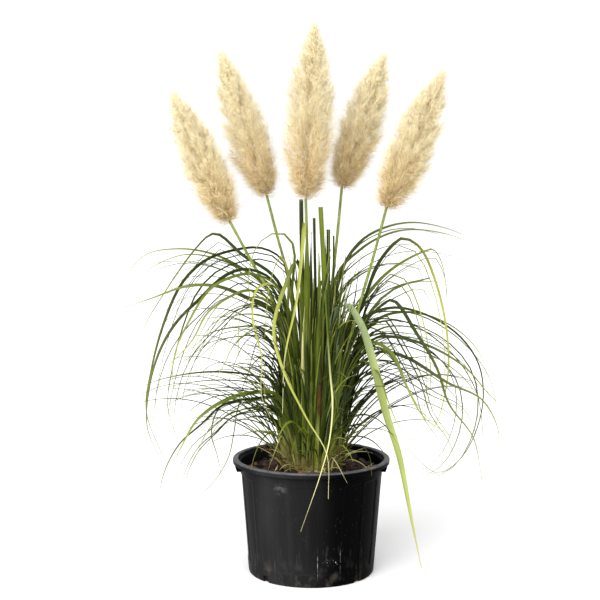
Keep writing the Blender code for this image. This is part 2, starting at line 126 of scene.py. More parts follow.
def panel_recess(turn, height):
    """How far the wall is sunk at a place: full depth inside each panel's rounded outline."""
    pitch = math.tau / PANELS
    beside = ((turn - PANEL_TURN) % pitch - pitch / 2) * wall_radius(height)
    half_width = pitch / 2 * wall_radius(height) - RIB_WIDTH / 2
    half_height = (PANEL_TOP - PANEL_FOOT) / 2
    across = abs(beside) - half_width + PANEL_CORNER
    along = abs(height - (PANEL_TOP + PANEL_FOOT) / 2) - half_height + PANEL_CORNER
    outside = math.hypot(max(across, 0), max(along, 0)) + min(max(across, along), 0) - PANEL_CORNER
    return PANEL_DEPTH * min(1, max(0, 0.5 - outside / (1.6 * MM)))


profile = pot_profile()
bpy.ops.mesh.primitive_circle_add(vertices=COLUMNS, radius=profile[0][0], fill_type="NGON")
pot = bpy.context.object
pot.name = "nursery_pot"
bpy.ops.object.mode_set(mode="EDIT")
for (radius, height), (next_radius, next_height) in zip(profile, profile[1:]):
    bpy.ops.mesh.extrude_region_move(TRANSFORM_OT_translate={"value": (0, 0, next_height - height)})
    bpy.ops.transform.resize(value=(next_radius / radius, next_radius / radius, 1))
bpy.ops.object.mode_set(mode="OBJECT")
for vertex in pot.data.vertices:
    radius = vertex.co.xy.length
    height = vertex.co.z
    if radius > wall_radius(height) - WALL / 2 and height < POT_TOP - LIP_DROP - 2 * MM:
        turn = math.atan2(vertex.co.x, -vertex.co.y)
        sunk = panel_recess(turn, height)
        warp = 0.5 * MM * math.sin(2 * turn + 1) * height / POT_TOP
        vertex.co.xy *= (radius - sunk + warp) / radius
tools = []
for degrees in NOTCH_TURNS:
    bpy.ops.mesh.primitive_cube_add(size=1, rotation=(0, 0, math.radians(degrees)))
    notch = bpy.context.object
    notch.scale = (12 * MM, 13 * MM, 24 * MM)
    turn = math.radians(degrees)
    notch.location = (FOOT_RADIUS * math.cos(turn), FOOT_RADIUS * math.sin(turn), 0)
    tools.append((notch, "DIFFERENCE"))
for side in (0, 180):
    for degrees in GRIP_TURNS:
        turn = math.radians(side + degrees)
        bpy.ops.mesh.primitive_cube_add(size=1, rotation=(0, 0, turn))
        rib = bpy.context.object
        rib.scale = (12 * MM, 1.8 * MM, 15 * MM)
        reach = WALL_TOP_RADIUS + 4.5 * MM
        rib.location = (reach * math.cos(turn), reach * math.sin(turn), POT_TOP - LIP_DROP - 5 * MM)
        for vertex in rib.data.vertices:
            if vertex.co.x > 0 and vertex.co.z < 0:
                vertex.co.x = 0.15
        tools.append((rib, "UNION"))
for tool, operation in tools:
    cut = pot.modifiers.new(tool.name, "BOOLEAN")
    cut.operation = operation
    cut.object = tool
apply_all(pot)
for tool, operation in tools:
    bpy.data.objects.remove(tool)
choose(pot)
bpy.ops.object.shade_smooth_by_angle(angle=math.radians(35))


class Value:
    """A number or colour on its way through a material: arithmetic on it adds Math nodes."""

    def __init__(self, finish, socket):
        self.finish = finish
        self.socket = socket

    def maths(self, operation, first, second=0.0):
        return self.finish.node("Math", {0: first, 1: second}, operation=operation)

    def __add__(self, other):
        return self.maths("ADD", self, other)

    def __radd__(self, other):
        return self.maths("ADD", other, self)

    def __sub__(self, other):
        return self.maths("SUBTRACT", self, other)

    def __rsub__(self, other):
        return self.maths("SUBTRACT", other, self)

    def __mul__(self, other):
        return self.maths("MULTIPLY", self, other)

    def __rmul__(self, other):
        return self.maths("MULTIPLY", other, self)

    def __truediv__(self, other):
        return self.maths("DIVIDE", self, other)

    def __pow__(self, other):
        return self.maths("POWER", self, other)

    def __abs__(self):
        return self.maths("ABSOLUTE", self)

    def floor(self):
        return self.maths("FLOOR", self)

    def fraction(self):
        return self.maths("FRACT", self)

    def wave(self):
        return self.maths("SINE", self)

    def larger(self, other):
        return self.maths("MAXIMUM", self, other)

    def rising(self, low, high):
        """Nought at low and one at high, eased between them. Low may be the greater."""
        return self.finish.node(
            "MapRange", {"Value": self, "From Min": low, "From Max": high}, interpolation_type="SMOOTHSTEP"
        )

    def between(self, first, second):
        """The first colour where this value is nought, and the second where it is one."""
        return self.finish.node("Mix", {0: self, 6: first, 7: second}, output=2, data_type="RGBA")


class Finish:
    """A material in the making. node() adds a shader node, with its settings and what feeds it."""

    def __init__(self, name):
        self.material = bpy.data.materials.new(name)
        self.material.use_nodes = True
        self.tree = self.material.node_tree
        self.shader = self.tree.nodes["Principled BSDF"]

    def feed(self, socket, value):
        if isinstance(value, Value):
            self.tree.links.new(value.socket, socket)
        elif socket.type == "RGBA":
            socket.default_value = (*value, 1)
        else:
            socket.default_value = value

    def node(self, kind, inputs=None, output=0, **settings):
        made = self.tree.nodes.new("ShaderNode" + kind)
        for name, value in settings.items():
            setattr(made, name, value)
        for name, value in (inputs or {}).items():
            self.feed(made.inputs[name], value)
        return Value(self, made.outputs[output])

    def place(self, stretch=(1, 1, 1), offset=(0, 0, 0)):
        """The place on the object, in metres."""
        there = self.node("TexCoord", output="Object")
        return self.node("Mapping", {"Vector": there, "Scale": stretch, "Location": offset})

    def grain(self, scale, stretch=(1, 1, 1), detail=2, offset=(0, 0, 0)):
        """Soft noise with so many lumps to the metre, drawn out along an axis by a small stretch."""
        there = self.place(stretch, offset)
        return self.node("TexNoise", {"Vector": there, "Scale": scale, "Detail": detail})

    def axis(self, letter):
        split = self.node("SeparateXYZ", {"Vector": self.place()}, output=letter)
        return split

    def spot(self, middle, reach):
        """One at a place and nought beyond its reach along each axis."""
        scaled = tuple(1 / r for r in reach)
        offset = tuple(-m / r for m, r in zip(middle, reach))
        far = self.node("VectorMath", {0: self.place(scaled, offset)}, output="Value", operation="LENGTH")
        return far.rising(1, 0.3)

    def bump(self, height, distance, strength=1.0):
        return self.node("Bump", {"Height": height, "Distance": distance, "Strength": strength})

    def coat(self, **sockets):
        """Feeds the Principled shader, whose sockets are named in plain words with underscores."""
        for name, value in sockets.items():
            self.feed(self.shader.inputs[name.replace("_", " ")], value)
        return self.material

    def thin(self, share, colour):
        """Lets light through, as a leaf or a hair does."""
        through = self.tree.nodes.new("ShaderNodeBsdfTranslucent")
        self.feed(through.inputs["Color"], colour)
        mix = self.tree.nodes.new("ShaderNodeMixShader")
        mix.inputs[0].default_value = share
        self.tree.links.new(self.shader.outputs[0], mix.inputs[1])
        self.tree.links.new(through.outputs[0], mix.inputs[2])
        self.tree.links.new(mix.outputs[0], self.tree.nodes["Material Output"].inputs["Surface"])


def dress(piece, material, slot, *nodes):
    """Gives a piece its finish and its body, and hides the solids that it stands for. The slot is not used.
    """
    piece.data.materials.clear()
    piece.data.materials.append(material)
    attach(piece, "root")
    if nodes:
        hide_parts(*nodes)
    deselect()
    return piece


BLACK = (0.0010, 0.0010, 0.0011)
SIDE_HIGHLIGHT_GREY = (0.021, 0.021, 0.022)
LIP_HIGHLIGHT_GREY = (0.12, 0.12, 0.125)
DRY_MUD = (0.062, 0.053, 0.041)
CHALK = (0.30, 0.30, 0.30)

plastic = Finish("black_plastic")
height = plastic.axis("Z")
sheen_blotches = plastic.grain(9, (1, 1, 0.35), detail=4).rising(0.42, 0.75)
highlight_streaks = plastic.grain(60, (1, 1, 0.03)).rising(0.45, 0.75)
across = plastic.axis("X")
# Painted highlight: a soft vertical band on the left of the wall, front and back, is painted grey where the
# light falls. The blotches and streaks in it are painted sheen.
painted_highlight_band = across.rising(0.05, -0.06) * across.rising(-0.165, -0.07)
shell = (painted_highlight_band * 0.5 + sheen_blotches * painted_highlight_band * 0.5).between(BLACK, SIDE_HIGHLIGHT_GREY)
shell = (highlight_streaks * painted_highlight_band * 0.35).between(shell, SIDE_HIGHLIGHT_GREY)
mud_patches = plastic.grain(46, (1, 1, 0.7), detail=5).rising(0.47, 0.68)
mud = mud_patches * height.rising(0.055, 0.008) * (across.rising(0.10, -0.05) * 0.4 + 0.25)
shell = mud.between(shell, DRY_MUD)
scratches = plastic.grain(420, (1, 1, 0.2), detail=3).rising(0.66, 0.72)
smudge = plastic.grain(120, (0.5, 1, 1), detail=4).rising(0.35, 0.8)
scuffs = plastic.spot((-0.055, -0.115, 0.172), (0.016, 0.05, 0.014)) * smudge
dots = plastic.grain(300, detail=3).rising(0.6, 0.66)
nicks = plastic.spot((0.038, -0.108, 0.045), (0.022, 0.03, 0.008)) * dots
streaks = plastic.grain(260, (1, 1, 0.02), detail=2).rising(0.62, 0.75) * height.rising(0.10, 0.03)
long_scratch = plastic.spot((0.010, -0.116, 0.042), (0.0009, 0.05, 0.036)) * smudge
side_scratch = plastic.spot((0.049, -0.106, 0.045), (0.0007, 0.05, 0.030)) * smudge
scraped = scratches * 0.04 + scuffs * 0.2 + nicks * 0.8 + streaks * 0.06
scraped = scraped + long_scratch * 0.7 + side_scratch * 0.5
shell = scraped.between(shell, CHALK)
# Painted highlight: the top of the lip is painted a lighter grey, broken up by the smudges.
painted_lip_highlight = height.rising(POT_TOP - 3 * MM, POT_TOP - 0.3 * MM)
shell = (painted_lip_highlight * (0.45 + smudge * 0.5)).between(shell, LIP_HIGHLIGHT_GREY)
dress(
    pot,
    plastic.coat(
        Base_Color=shell,
        Roughness=sheen_blotches * 0.12 + mud * 0.4 + 0.34,
        Normal=plastic.bump(plastic.grain(900, detail=3), 0.15 * MM, 0.5),
        Specular_IOR_Level=0.01,
    ),
    "black_plastic",
    "pot",
)


# Compost: dark moist peat with bark chips on top, filling the pot to two centimetres below its lip. It is
# a loose lump that the roots hold together, a little higher where the clump grows.
SOIL_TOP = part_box("soil")[1].z
SOIL_EDGE = wall_radius(SOIL_TOP) - WALL - 0.6 * MM
SOIL_RINGS = 22
CROWN_RADIUS = 60 * MM
CHIP_COUNT = 520
CHIP_LANES = 16
CHIP_SHAPES = 5


def compost_height(x, y):
    """The lumpy surface, between the crown and the pot's wall."""
    radius = math.hypot(x, y)
    dip = 6 * MM * min(1, max(0, (radius - CROWN_RADIUS) / (25 * MM)))
    lumps = noise.noise(Vector((x, y, 0)) * 70) * 3 * MM + noise.noise(Vector((x, y, 4)) * 210) * 1.4 * MM
    return SOIL_TOP - dip + lumps


bpy.ops.mesh.primitive_cone_add(
    vertices=96, radius1=FOOT_RADIUS - 3.4 * MM, radius2=SOIL_EDGE, depth=SOIL_TOP - 8 * MM - 2.4 * MM,
    location=(0, 0, (SOIL_TOP - 8 * MM + 2.4 * MM) / 2),
)
compost = bpy.context.object
compost.name = "compost"
bpy.ops.object.transform_apply(location=True, rotation=True, scale=True)
for face in compost.data.polygons:
    face.select = face.normal.z > 0.9
bpy.ops.object.mode_set(mode="EDIT")
bpy.ops.mesh.select_mode(type="FACE")
for ring in range(SOIL_RINGS):
    bpy.ops.mesh.inset(thickness=SOIL_EDGE / (SOIL_RINGS + 1), depth=0)
bpy.ops.mesh.poke()
bpy.ops.object.mode_set(mode="OBJECT")
for vertex in compost.data.vertices:
    if vertex.co.z > SOIL_TOP - 9 * MM:
        x, y = vertex.co.xy
        inward = min(1, (SOIL_EDGE - math.hypot(x, y)) / (4 * MM))
        vertex.co.z += (compost_height(x, y) - vertex.co.z) * inward
choose(compost)
bpy.ops.object.shade_smooth()

PEAT = (0.006, 0.003, 0.0015)
DAMP_BROWN = (0.028, 0.014, 0.007)
peat = Finish("compost")
crumbs = peat.grain(420, detail=5)
ground = crumbs.rising(0.35, 0.72).between(PEAT, DAMP_BROWN)
ground = peat.grain(1400, detail=2).rising(0.66, 0.74).between(ground, (0.12, 0.075, 0.04))
dress(
    compost,
    peat.coat(
        Base_Color=ground, Roughness=0.95, Specular_IOR_Level=0.1, Normal=peat.bump(crumbs, 1.2 * MM),
    ),
    "compost",
    "soil",
)


def mesh_piece(name, corners, faces, places):
    """An object from corners, faces and the place of each face corner on the piece's UV map."""
    mesh = bpy.data.meshes.new(name)
    mesh.from_pydata(corners, [], faces)
    layer = mesh.uv_layers.new(name="OFBake")
    layer.uv.foreach_set("vector", np.asarray(places, np.float32).ravel())
    mesh.validate()
    piece = bpy.data.objects.new(name, mesh)
    bpy.context.scene.collection.objects.link(piece)
    return piece


def chip_shape(seed):
    """A flake of bark, about one unit long: a cube cut up, flattened and roughened."""
    bpy.ops.mesh.primitive_cube_add(size=1)
    flake = bpy.context.object
    bpy.ops.object.mode_set(mode="EDIT")
    bpy.ops.mesh.subdivide(number_cuts=1)
    bpy.ops.object.mode_set(mode="OBJECT")
    corners = []
    for vertex in flake.data.vertices:
        pulled = vertex.co * (0.72 + 0.28 / max(0.5, vertex.co.length))
        pulled += noise.noise_vector(vertex.co * 2.3 + Vector((seed * 7, 0, 0))) * 0.22
        corners.append(Vector((pulled.x, pulled.y * 0.62, pulled.z * 0.34)))
    faces = [tuple(face.vertices) for face in flake.data.polygons]
    bpy.data.objects.remove(flake)
    return corners, faces


pick = random.Random(11)
shapes = [chip_shape(seed) for seed in range(CHIP_SHAPES)]
corners, faces, places = [], [], []
for number in range(CHIP_COUNT):
    shape, sides = shapes[number % CHIP_SHAPES]
    turn = pick.uniform(0, math.tau)
    radius = math.sqrt(pick.uniform(0.16, 1)) * (SOIL_EDGE - 7 * MM)
    x, y = radius * math.cos(turn), radius * math.sin(turn)
    length = pick.uniform(4, 9) * MM if pick.random() < 0.75 else pick.uniform(9, 17) * MM
    lie = Euler((pick.gauss(0, 0.45), pick.gauss(0, 0.45), pick.uniform(0, math.tau))).to_matrix()
    middle = Vector((x, y, compost_height(x, y) + 0.12 * length))
    first = len(corners)
    corners += [middle + lie @ (corner * length) for corner in shape]
    lane = pick.randrange(CHIP_LANES)
    on_map = [((lane + 0.5 + 0.6 * corner.y) / CHIP_LANES, corner.x * 0.9 + 0.5) for corner in shape]
    for side in sides:
        faces.append(tuple(first + i for i in side))
        places += [on_map[i] for i in side]
bark_chips = mesh_piece("bark_chips", corners, faces, places)


def lane_of(finish, lanes):
    """The lane that a blade or chip has on the map, the place across it and the place along it."""
    there = finish.node("UVMap", uv_map="OFBake")
    across = finish.node("SeparateXYZ", {"Vector": there}, output="X") * lanes
    along = finish.node("SeparateXYZ", {"Vector": there}, output="Y")
    return across.floor(), across.fraction(), along


def chance(finish, lane, seed):
    """A number from nought to one that is each lane's own."""
    return finish.node("TexWhiteNoise", {"W": lane + seed}, noise_dimensions="1D")


bark = Finish("bark_chips")
lane, across, along = lane_of(bark, CHIP_LANES)
tint = chance(bark, lane, 0.5)
drawn = bark.node("CombineXYZ", {"X": across * 6 + lane * 3, "Y": along * 1.5})
fibres = bark.node("TexNoise", {"Vector": drawn, "Scale": 3.0})
wood = tint.rising(0.35, 1.0).between((0.003, 0.0012, 0.0006), (0.030, 0.0105, 0.0045))
wood = tint.rising(0.90, 0.96).between(wood, (0.13, 0.065, 0.03))
wood = fibres.rising(0.45, 0.7).between(wood, (0.008, 0.004, 0.002))
dress(bark_chips, bark.coat(Base_Color=wood, Roughness=0.7, Specular_IOR_Level=0.25), "compost")


# Culms: five round green stems as thick as a pencil lead, smooth and solid, each with two swollen joints.
# They grow from the crown, leaning outwards, and carry the plumes.
RING_RADII = (0, 13 * MM, 26 * MM, 39 * MM, 51 * MM)
CULM_RADIUS = 3 * MM
CULM_STEPS = 60
CULMS = (
    ((2, 165), (-4.4, 1.2, 36), (-7, 1.8, 48.5), (-11, 2, 56), (-14.5, 2, 62.5)),
    ((2, 120), (-2.4, 3.4, 40), (-4.2, 4.6, 52.5), (-6.2, 5.4, 60), (-8, 6, 67)),
    ((0, 0), (-0.2, -0.4, 35), (-0.5, -0.8, 50), (-0.8, -1, 60), (-1, -1, 66.5)),
    ((2, 60), (2.6, 2.6, 40), (4, 3.4, 53.5), (4.8, 4.2, 61), (5.5, 5, 68.5)),
    ((2, 330), (4.8, -1.6, 34), (8.3, -2.2, 47.5), (10.8, -2.6, 56.5), (13, -3, 65)),
)
CULM_JOINTS = (0.34, 0.72)


def polar(radius, degrees, height=0.0):
    angle = math.radians(degrees)
    return Vector((radius * math.cos(angle), radius * math.sin(angle), height))


def full_route(spot, via):
    """A route in metres, from a spot in the clump through points given in centimetres."""
    ring, degrees = spot
    return [polar(RING_RADII[ring], degrees, SOIL_TOP), *(Vector(p) * CM for p in via)]


def heading(a, b, c, span):
    """The slope at b of a smooth curve through a, b and c, for a span of the given weight."""
    before = math.sqrt((b - a).length)
    after = math.sqrt((c - b).length)
    return ((b - a) / before - (c - a) / (before + after) + (c - b) / after) * span


def smooth_route(points, steps):
    """Evenly spaced points along a centripetal Catmull-Rom curve through the given points."""
    ends = [2 * points[0] - points[1], *points, 2 * points[-1] - points[-2]]
    fine = []
    for a, b, c, d in zip(ends, ends[1:], ends[2:], ends[3:]):
        span = math.sqrt((c - b).length)
        leaving = heading(a, b, c, span)
        arriving = heading(b, c, d, span)
        for k in range(16):
            t = k / 16
            fine.append(
                b * (2 * t ** 3 - 3 * t ** 2 + 1) + leaving * (t ** 3 - 2 * t ** 2 + t)
                + c * (3 * t ** 2 - 2 * t ** 3) + arriving * (t ** 3 - t ** 2)
            )
    fine.append(points[-1])
    run = [0.0]
    for a, b in zip(fine, fine[1:]):
        run.append(run[-1] + (b - a).length)
    route = []
    j = 0
    for k in range(steps + 1):
        goal = run[-1] * k / steps
        while j < len(run) - 2 and run[j + 1] < goal:
            j += 1
        route.append(fine[j].lerp(fine[j + 1], (goal - run[j]) / (run[j + 1] - run[j])))
    return route


STEM_LIGHT = (0.17, 0.21, 0.030)
STEM_DARK = (0.060, 0.085, 0.010)
stem = Finish("culm_green")
streaks = stem.grain(900, (1, 1, 0.03), detail=2)
green = streaks.rising(0.35, 0.65).between(STEM_DARK, STEM_LIGHT)
green = stem.grain(14, detail=2).rising(0.5, 0.75).between(green, (0.24, 0.27, 0.05))
stem_finish = stem.coat(
    Base_Color=green, Roughness=0.38, Specular_IOR_Level=0.3, Normal=stem.bump(streaks, 0.2 * MM, 0.4),
)

for number, (spot, *via) in enumerate(CULMS, 1):
    route = smooth_route(full_route(spot, via), CULM_STEPS)
    curve = bpy.data.curves.new(f"stem_{number}", "CURVE")
    curve.dimensions = "3D"
    curve.bevel_depth = CULM_RADIUS
    curve.bevel_resolution = 3
    curve.use_fill_caps = True
    spline = curve.splines.new("POLY")
    spline.points.add(CULM_STEPS)
    for k, (point, place) in enumerate(zip(spline.points, route)):
        share = k / CULM_STEPS
        joint = max(math.exp(-((share - at) / 0.008) ** 2) for at in CULM_JOINTS)
        point.co = (*place, 1)
        point.radius = 1.12 - 0.34 * share + 0.18 * joint
    piece = bpy.data.objects.new(f"stem_{number}", curve)
    bpy.context.scene.collection.objects.link(piece)
    choose(piece)
    bpy.ops.object.convert(target="MESH")
    bpy.ops.object.mode_set(mode="EDIT")
    bpy.ops.mesh.select_all(action="SELECT")
    bpy.ops.mesh.remove_doubles(threshold=1e-5)
    bpy.ops.object.mode_set(mode="OBJECT")
    bpy.ops.object.shade_smooth()
    dress(piece, stem_finish, "culm_green", f"culm_{number}")


# Plumes: the flower heads. Hundreds of fine branchlets leave the stem and sweep upwards, and each is
# clothed in silky cream hairs. The hairs are modelled one by one, as spikes of three sides.
PLUMES = (
    ((-24.6, 3, 85.2), 39 * MM),
    ((-16.4, 8.5, 92.8), 41 * MM),
    ((0.5, -1, 96.8), 46 * MM),
    ((13.1, 7, 92.3), 40 * MM),
    ((22.4, -4, 88.2), 41 * MM),
)
BRANCHLETS = 430
HAIRS_EACH = 84
PLUME_WAIST = 0.40
HAIR_LENGTH = 16 * MM
HAIR_WIDTH = 0.42 * MM
HUSKS = 170


def plume_radius(share, widest):
    """Blunt below, widest at two fifths of its height and pointed above."""
    below = np.sin(math.pi / 2 * np.clip(share / PLUME_WAIST, 0, 1) ** 0.75)
    above = 1 - np.clip((share - PLUME_WAIST) / (1 - PLUME_WAIST), 0, 1) ** 2.6
    return widest * np.where(share < PLUME_WAIST, below, above)


def unit(vectors):
    return vectors / np.maximum(np.linalg.norm(vectors, axis=-1, keepdims=True), 1e-9)


def spikes(name, roots, tips, widths, shades):
    """Closed three-sided spikes. Each has a shade across the map and runs up it from root to tip."""
    count = len(roots)
    along = unit(tips - roots)
    other = np.where(np.abs(along[:, 2:]) < 0.8, [[0.0, 0.0, 1.0]], [[1.0, 0.0, 0.0]])
    side = unit(np.cross(along, other))
    front = np.cross(along, side)
    corners = np.empty((count, 4, 3))
    for k in range(3):
        turn = math.tau * k / 3
        corners[:, k] = roots + (side * math.cos(turn) + front * math.sin(turn)) * widths[:, None] / 2
    corners[:, 3] = tips
    mesh = bpy.data.meshes.new(name)
    mesh.vertices.add(4 * count)
    mesh.vertices.foreach_set("co", corners.astype(np.float32).ravel())
    pattern = np.array([(0, 1, 3), (1, 2, 3), (2, 0, 3), (2, 1, 0)])
    loops = (4 * np.arange(count)[:, None, None] + pattern).ravel()
    mesh.loops.add(len(loops))
    mesh.loops.foreach_set("vertex_index", loops.astype(np.int32))
    mesh.polygons.add(4 * count)
    mesh.polygons.foreach_set("loop_start", (3 * np.arange(4 * count)).astype(np.int32))
    mesh.update(calc_edges=True)
    place = np.empty((count, 4, 2))
    place[:, :, 0] = np.clip(shades, 0.02, 0.98)[:, None] + np.array([-0.012, 0, 0.012, 0])
    place[:, :, 1] = [0.02, 0.02, 0.02, 0.98]
    layer = mesh.uv_layers.new(name="OFBake")
    layer.uv.foreach_set("vector", place[:, pattern].astype(np.float32).ravel())
    mesh.validate()
    piece = bpy.data.objects.new(name, mesh)
    bpy.context.scene.collection.objects.link(piece)
    return piece


def plume_hairs(foot, tip, widest, seed):
    """Roots, tips, widths and shades of a plume's hairs and of the branchlets that carry them."""
    draw = np.random.default_rng(seed)
    axis = np.array(tip - foot)
    length = np.linalg.norm(axis)
    axis /= length
    level = unit(np.cross(axis, [0.0, 1.0, 0.0]))
    deep = np.cross(level, axis)
    start = 0.93 * (np.arange(BRANCHLETS) + 0.5) / BRANCHLETS
    turn = np.arange(BRANCHLETS) * math.radians(137.5) + draw.normal(0, 0.2, BRANCHLETS)
    reach = (0.045 + 0.55 * start).clip(0, 0.19 - 0.09 * start) * draw.uniform(0.75, 1.3, BRANCHLETS)
    end = np.minimum(start + reach, 0.975)
    out = level * np.cos(turn)[:, None] + deep * np.sin(turn)[:, None]
    lobes = 1 + 0.06 * np.sin(3 * turn + 17 * start + seed) + 0.04 * np.sin(5 * turn - 31 * start)
    wide = (plume_radius(end, widest) * lobes - 3 * MM).clip(0.5 * MM) * draw.beta(5, 1.0, BRANCHLETS)
    base = np.array(foot) + axis * (start * length)[:, None]
    bend = np.array(foot) + axis * ((start + 0.3 * (end - start)) * length)[:, None]
    bend = bend + out * (0.75 * wide)[:, None]
    far = np.array(foot) + axis * (end * length)[:, None] + out * wide[:, None]

    def on_branchlet(t):
        t = t[..., None]
        return base[:, None] * (1 - t) ** 2 + bend[:, None] * 2 * t * (1 - t) + far[:, None] * t ** 2

    each = (BRANCHLETS, HAIRS_EACH)
    t = draw.beta(1.5, 1.0, each)
    loose = 4 * MM * (1.1 - end)[:, None, None]
    root = on_branchlet(t) + draw.normal(0, 1, (*each, 3)) * loose
    ahead = unit(on_branchlet(t + 0.05) - on_branchlet(t - 0.05))
    spread = np.clip(0.75 - 0.6 * end, 0.25, 0.8)[:, None, None]
    rise = (0.1 + 0.4 * np.minimum(1, 4 * start))[:, None, None]
    aim = unit(ahead * 0.6 + out[:, None] * spread + axis * rise + draw.normal(0, 0.45, (*each, 3)))
    hair = HAIR_LENGTH * draw.uniform(0.45, 1.3, each) * (1.1 - 0.55 * end)[:, None]
    stray = draw.random(each) < 0.14
    aim = np.where(stray[..., None], unit(aim + out[:, None] * 0.7 - axis * 0.3), aim)
    hair = np.where(stray, 1.5 * hair, hair)
    tips = root + aim * hair[..., None]
    pale = np.minimum(1, start * 2.6)[:, None]
    shade = (draw.normal(0, 0.07, BRANCHLETS)[:, None] + draw.normal(0, 0.16, each)) * (1.1 - 0.6 * pale)
    # Low hairs are tan, as the plume's base is. Hairs nearer the stem are darker, partly their own tan and
    # partly painted shade for the depth of the plume.
    shade = shade + 0.22 + 0.24 * pale + 0.42 * t * (0.4 + 0.6 * pale)
    shade = shade.clip(0.09, 1)
    width = HAIR_WIDTH * draw.uniform(0.7, 1.3, each)
    knots = np.linspace(0, 1, 5)
    stalk = on_branchlet(np.tile(knots, (BRANCHLETS, 1)))
    stalk_roots = stalk[:, :-1].reshape(-1, 3)
    stalk_tips = (stalk[:, 1:] * 1.5 - stalk[:, :-1] * 0.5).reshape(-1, 3)
    stalk_widths = np.tile(np.linspace(0.7, 0.35, 4) * MM, BRANCHLETS)
    stem_share = np.linspace(0, 0.9, 12)
    spine = np.array(foot) + axis * (stem_share * length)[:, None]
    spine_tips = spine + axis * 0.16 * length
    low = 0.015 + 0.4 * draw.random(HUSKS) ** 1.5
    husk_turn = draw.uniform(0, math.tau, HUSKS)
    husk_out = level * np.cos(husk_turn)[:, None] + deep * np.sin(husk_turn)[:, None]
    husk = np.array(foot) + axis * (low * length)[:, None]
    husk = husk + husk_out * (plume_radius(low, widest) * draw.uniform(0.45, 0.95, HUSKS))[:, None]
    husk_aim = unit(axis + husk_out * 0.6 + draw.normal(0, 0.35, (HUSKS, 3)))
    husk_tips = husk + husk_aim * draw.uniform(4, 9, HUSKS)[:, None] * MM
    husk_shade = np.where(draw.random(HUSKS) < 0.35, 0.0, 0.1)
    return (
        np.concatenate([root.reshape(-1, 3), stalk_roots, spine, husk]),
        np.concatenate([tips.reshape(-1, 3), stalk_tips, spine_tips, husk_tips]),
        np.concatenate([width.ravel(), stalk_widths, np.linspace(4.4, 1.2, 12) * MM, np.full(HUSKS, MM)]),
        np.concatenate([shade.ravel(), np.full(len(stalk_roots) + 12, 0.2), husk_shade]),
    )


silk = Finish("plume_cream")
shade_here = silk.node("SeparateXYZ", {"Vector": silk.node("UVMap", uv_map="OFBake")}, output="X")
along = silk.node("SeparateXYZ", {"Vector": silk.node("UVMap", uv_map="OFBake")}, output="Y")
cream = shade_here.rising(0.0, 0.34).between((0.52, 0.33, 0.12), (0.90, 0.74, 0.39))
cream = shade_here.rising(0.28, 0.75).between(cream, (0.96, 0.89, 0.66))
cream = (along.rising(0.3, 1.0) * 0.5).between(cream, (0.97, 0.93, 0.81))
cream = shade_here.rising(0.055, 0.04).between(cream, (0.16, 0.085, 0.03))
silk.coat(Base_Color=cream, Roughness=0.7, Specular_IOR_Level=0.2)
silk.thin(0.5, cream)

for number, (tip, widest) in enumerate(PLUMES, 1):
    foot = Vector(CULMS[number - 1][-1]) * CM
    piece = spikes(f"hairs_{number}", *plume_hairs(foot, Vector(tip) * CM, widest, 40 + number))
    dress(piece, silk.material, "plume_cream", f"plume_{number}")


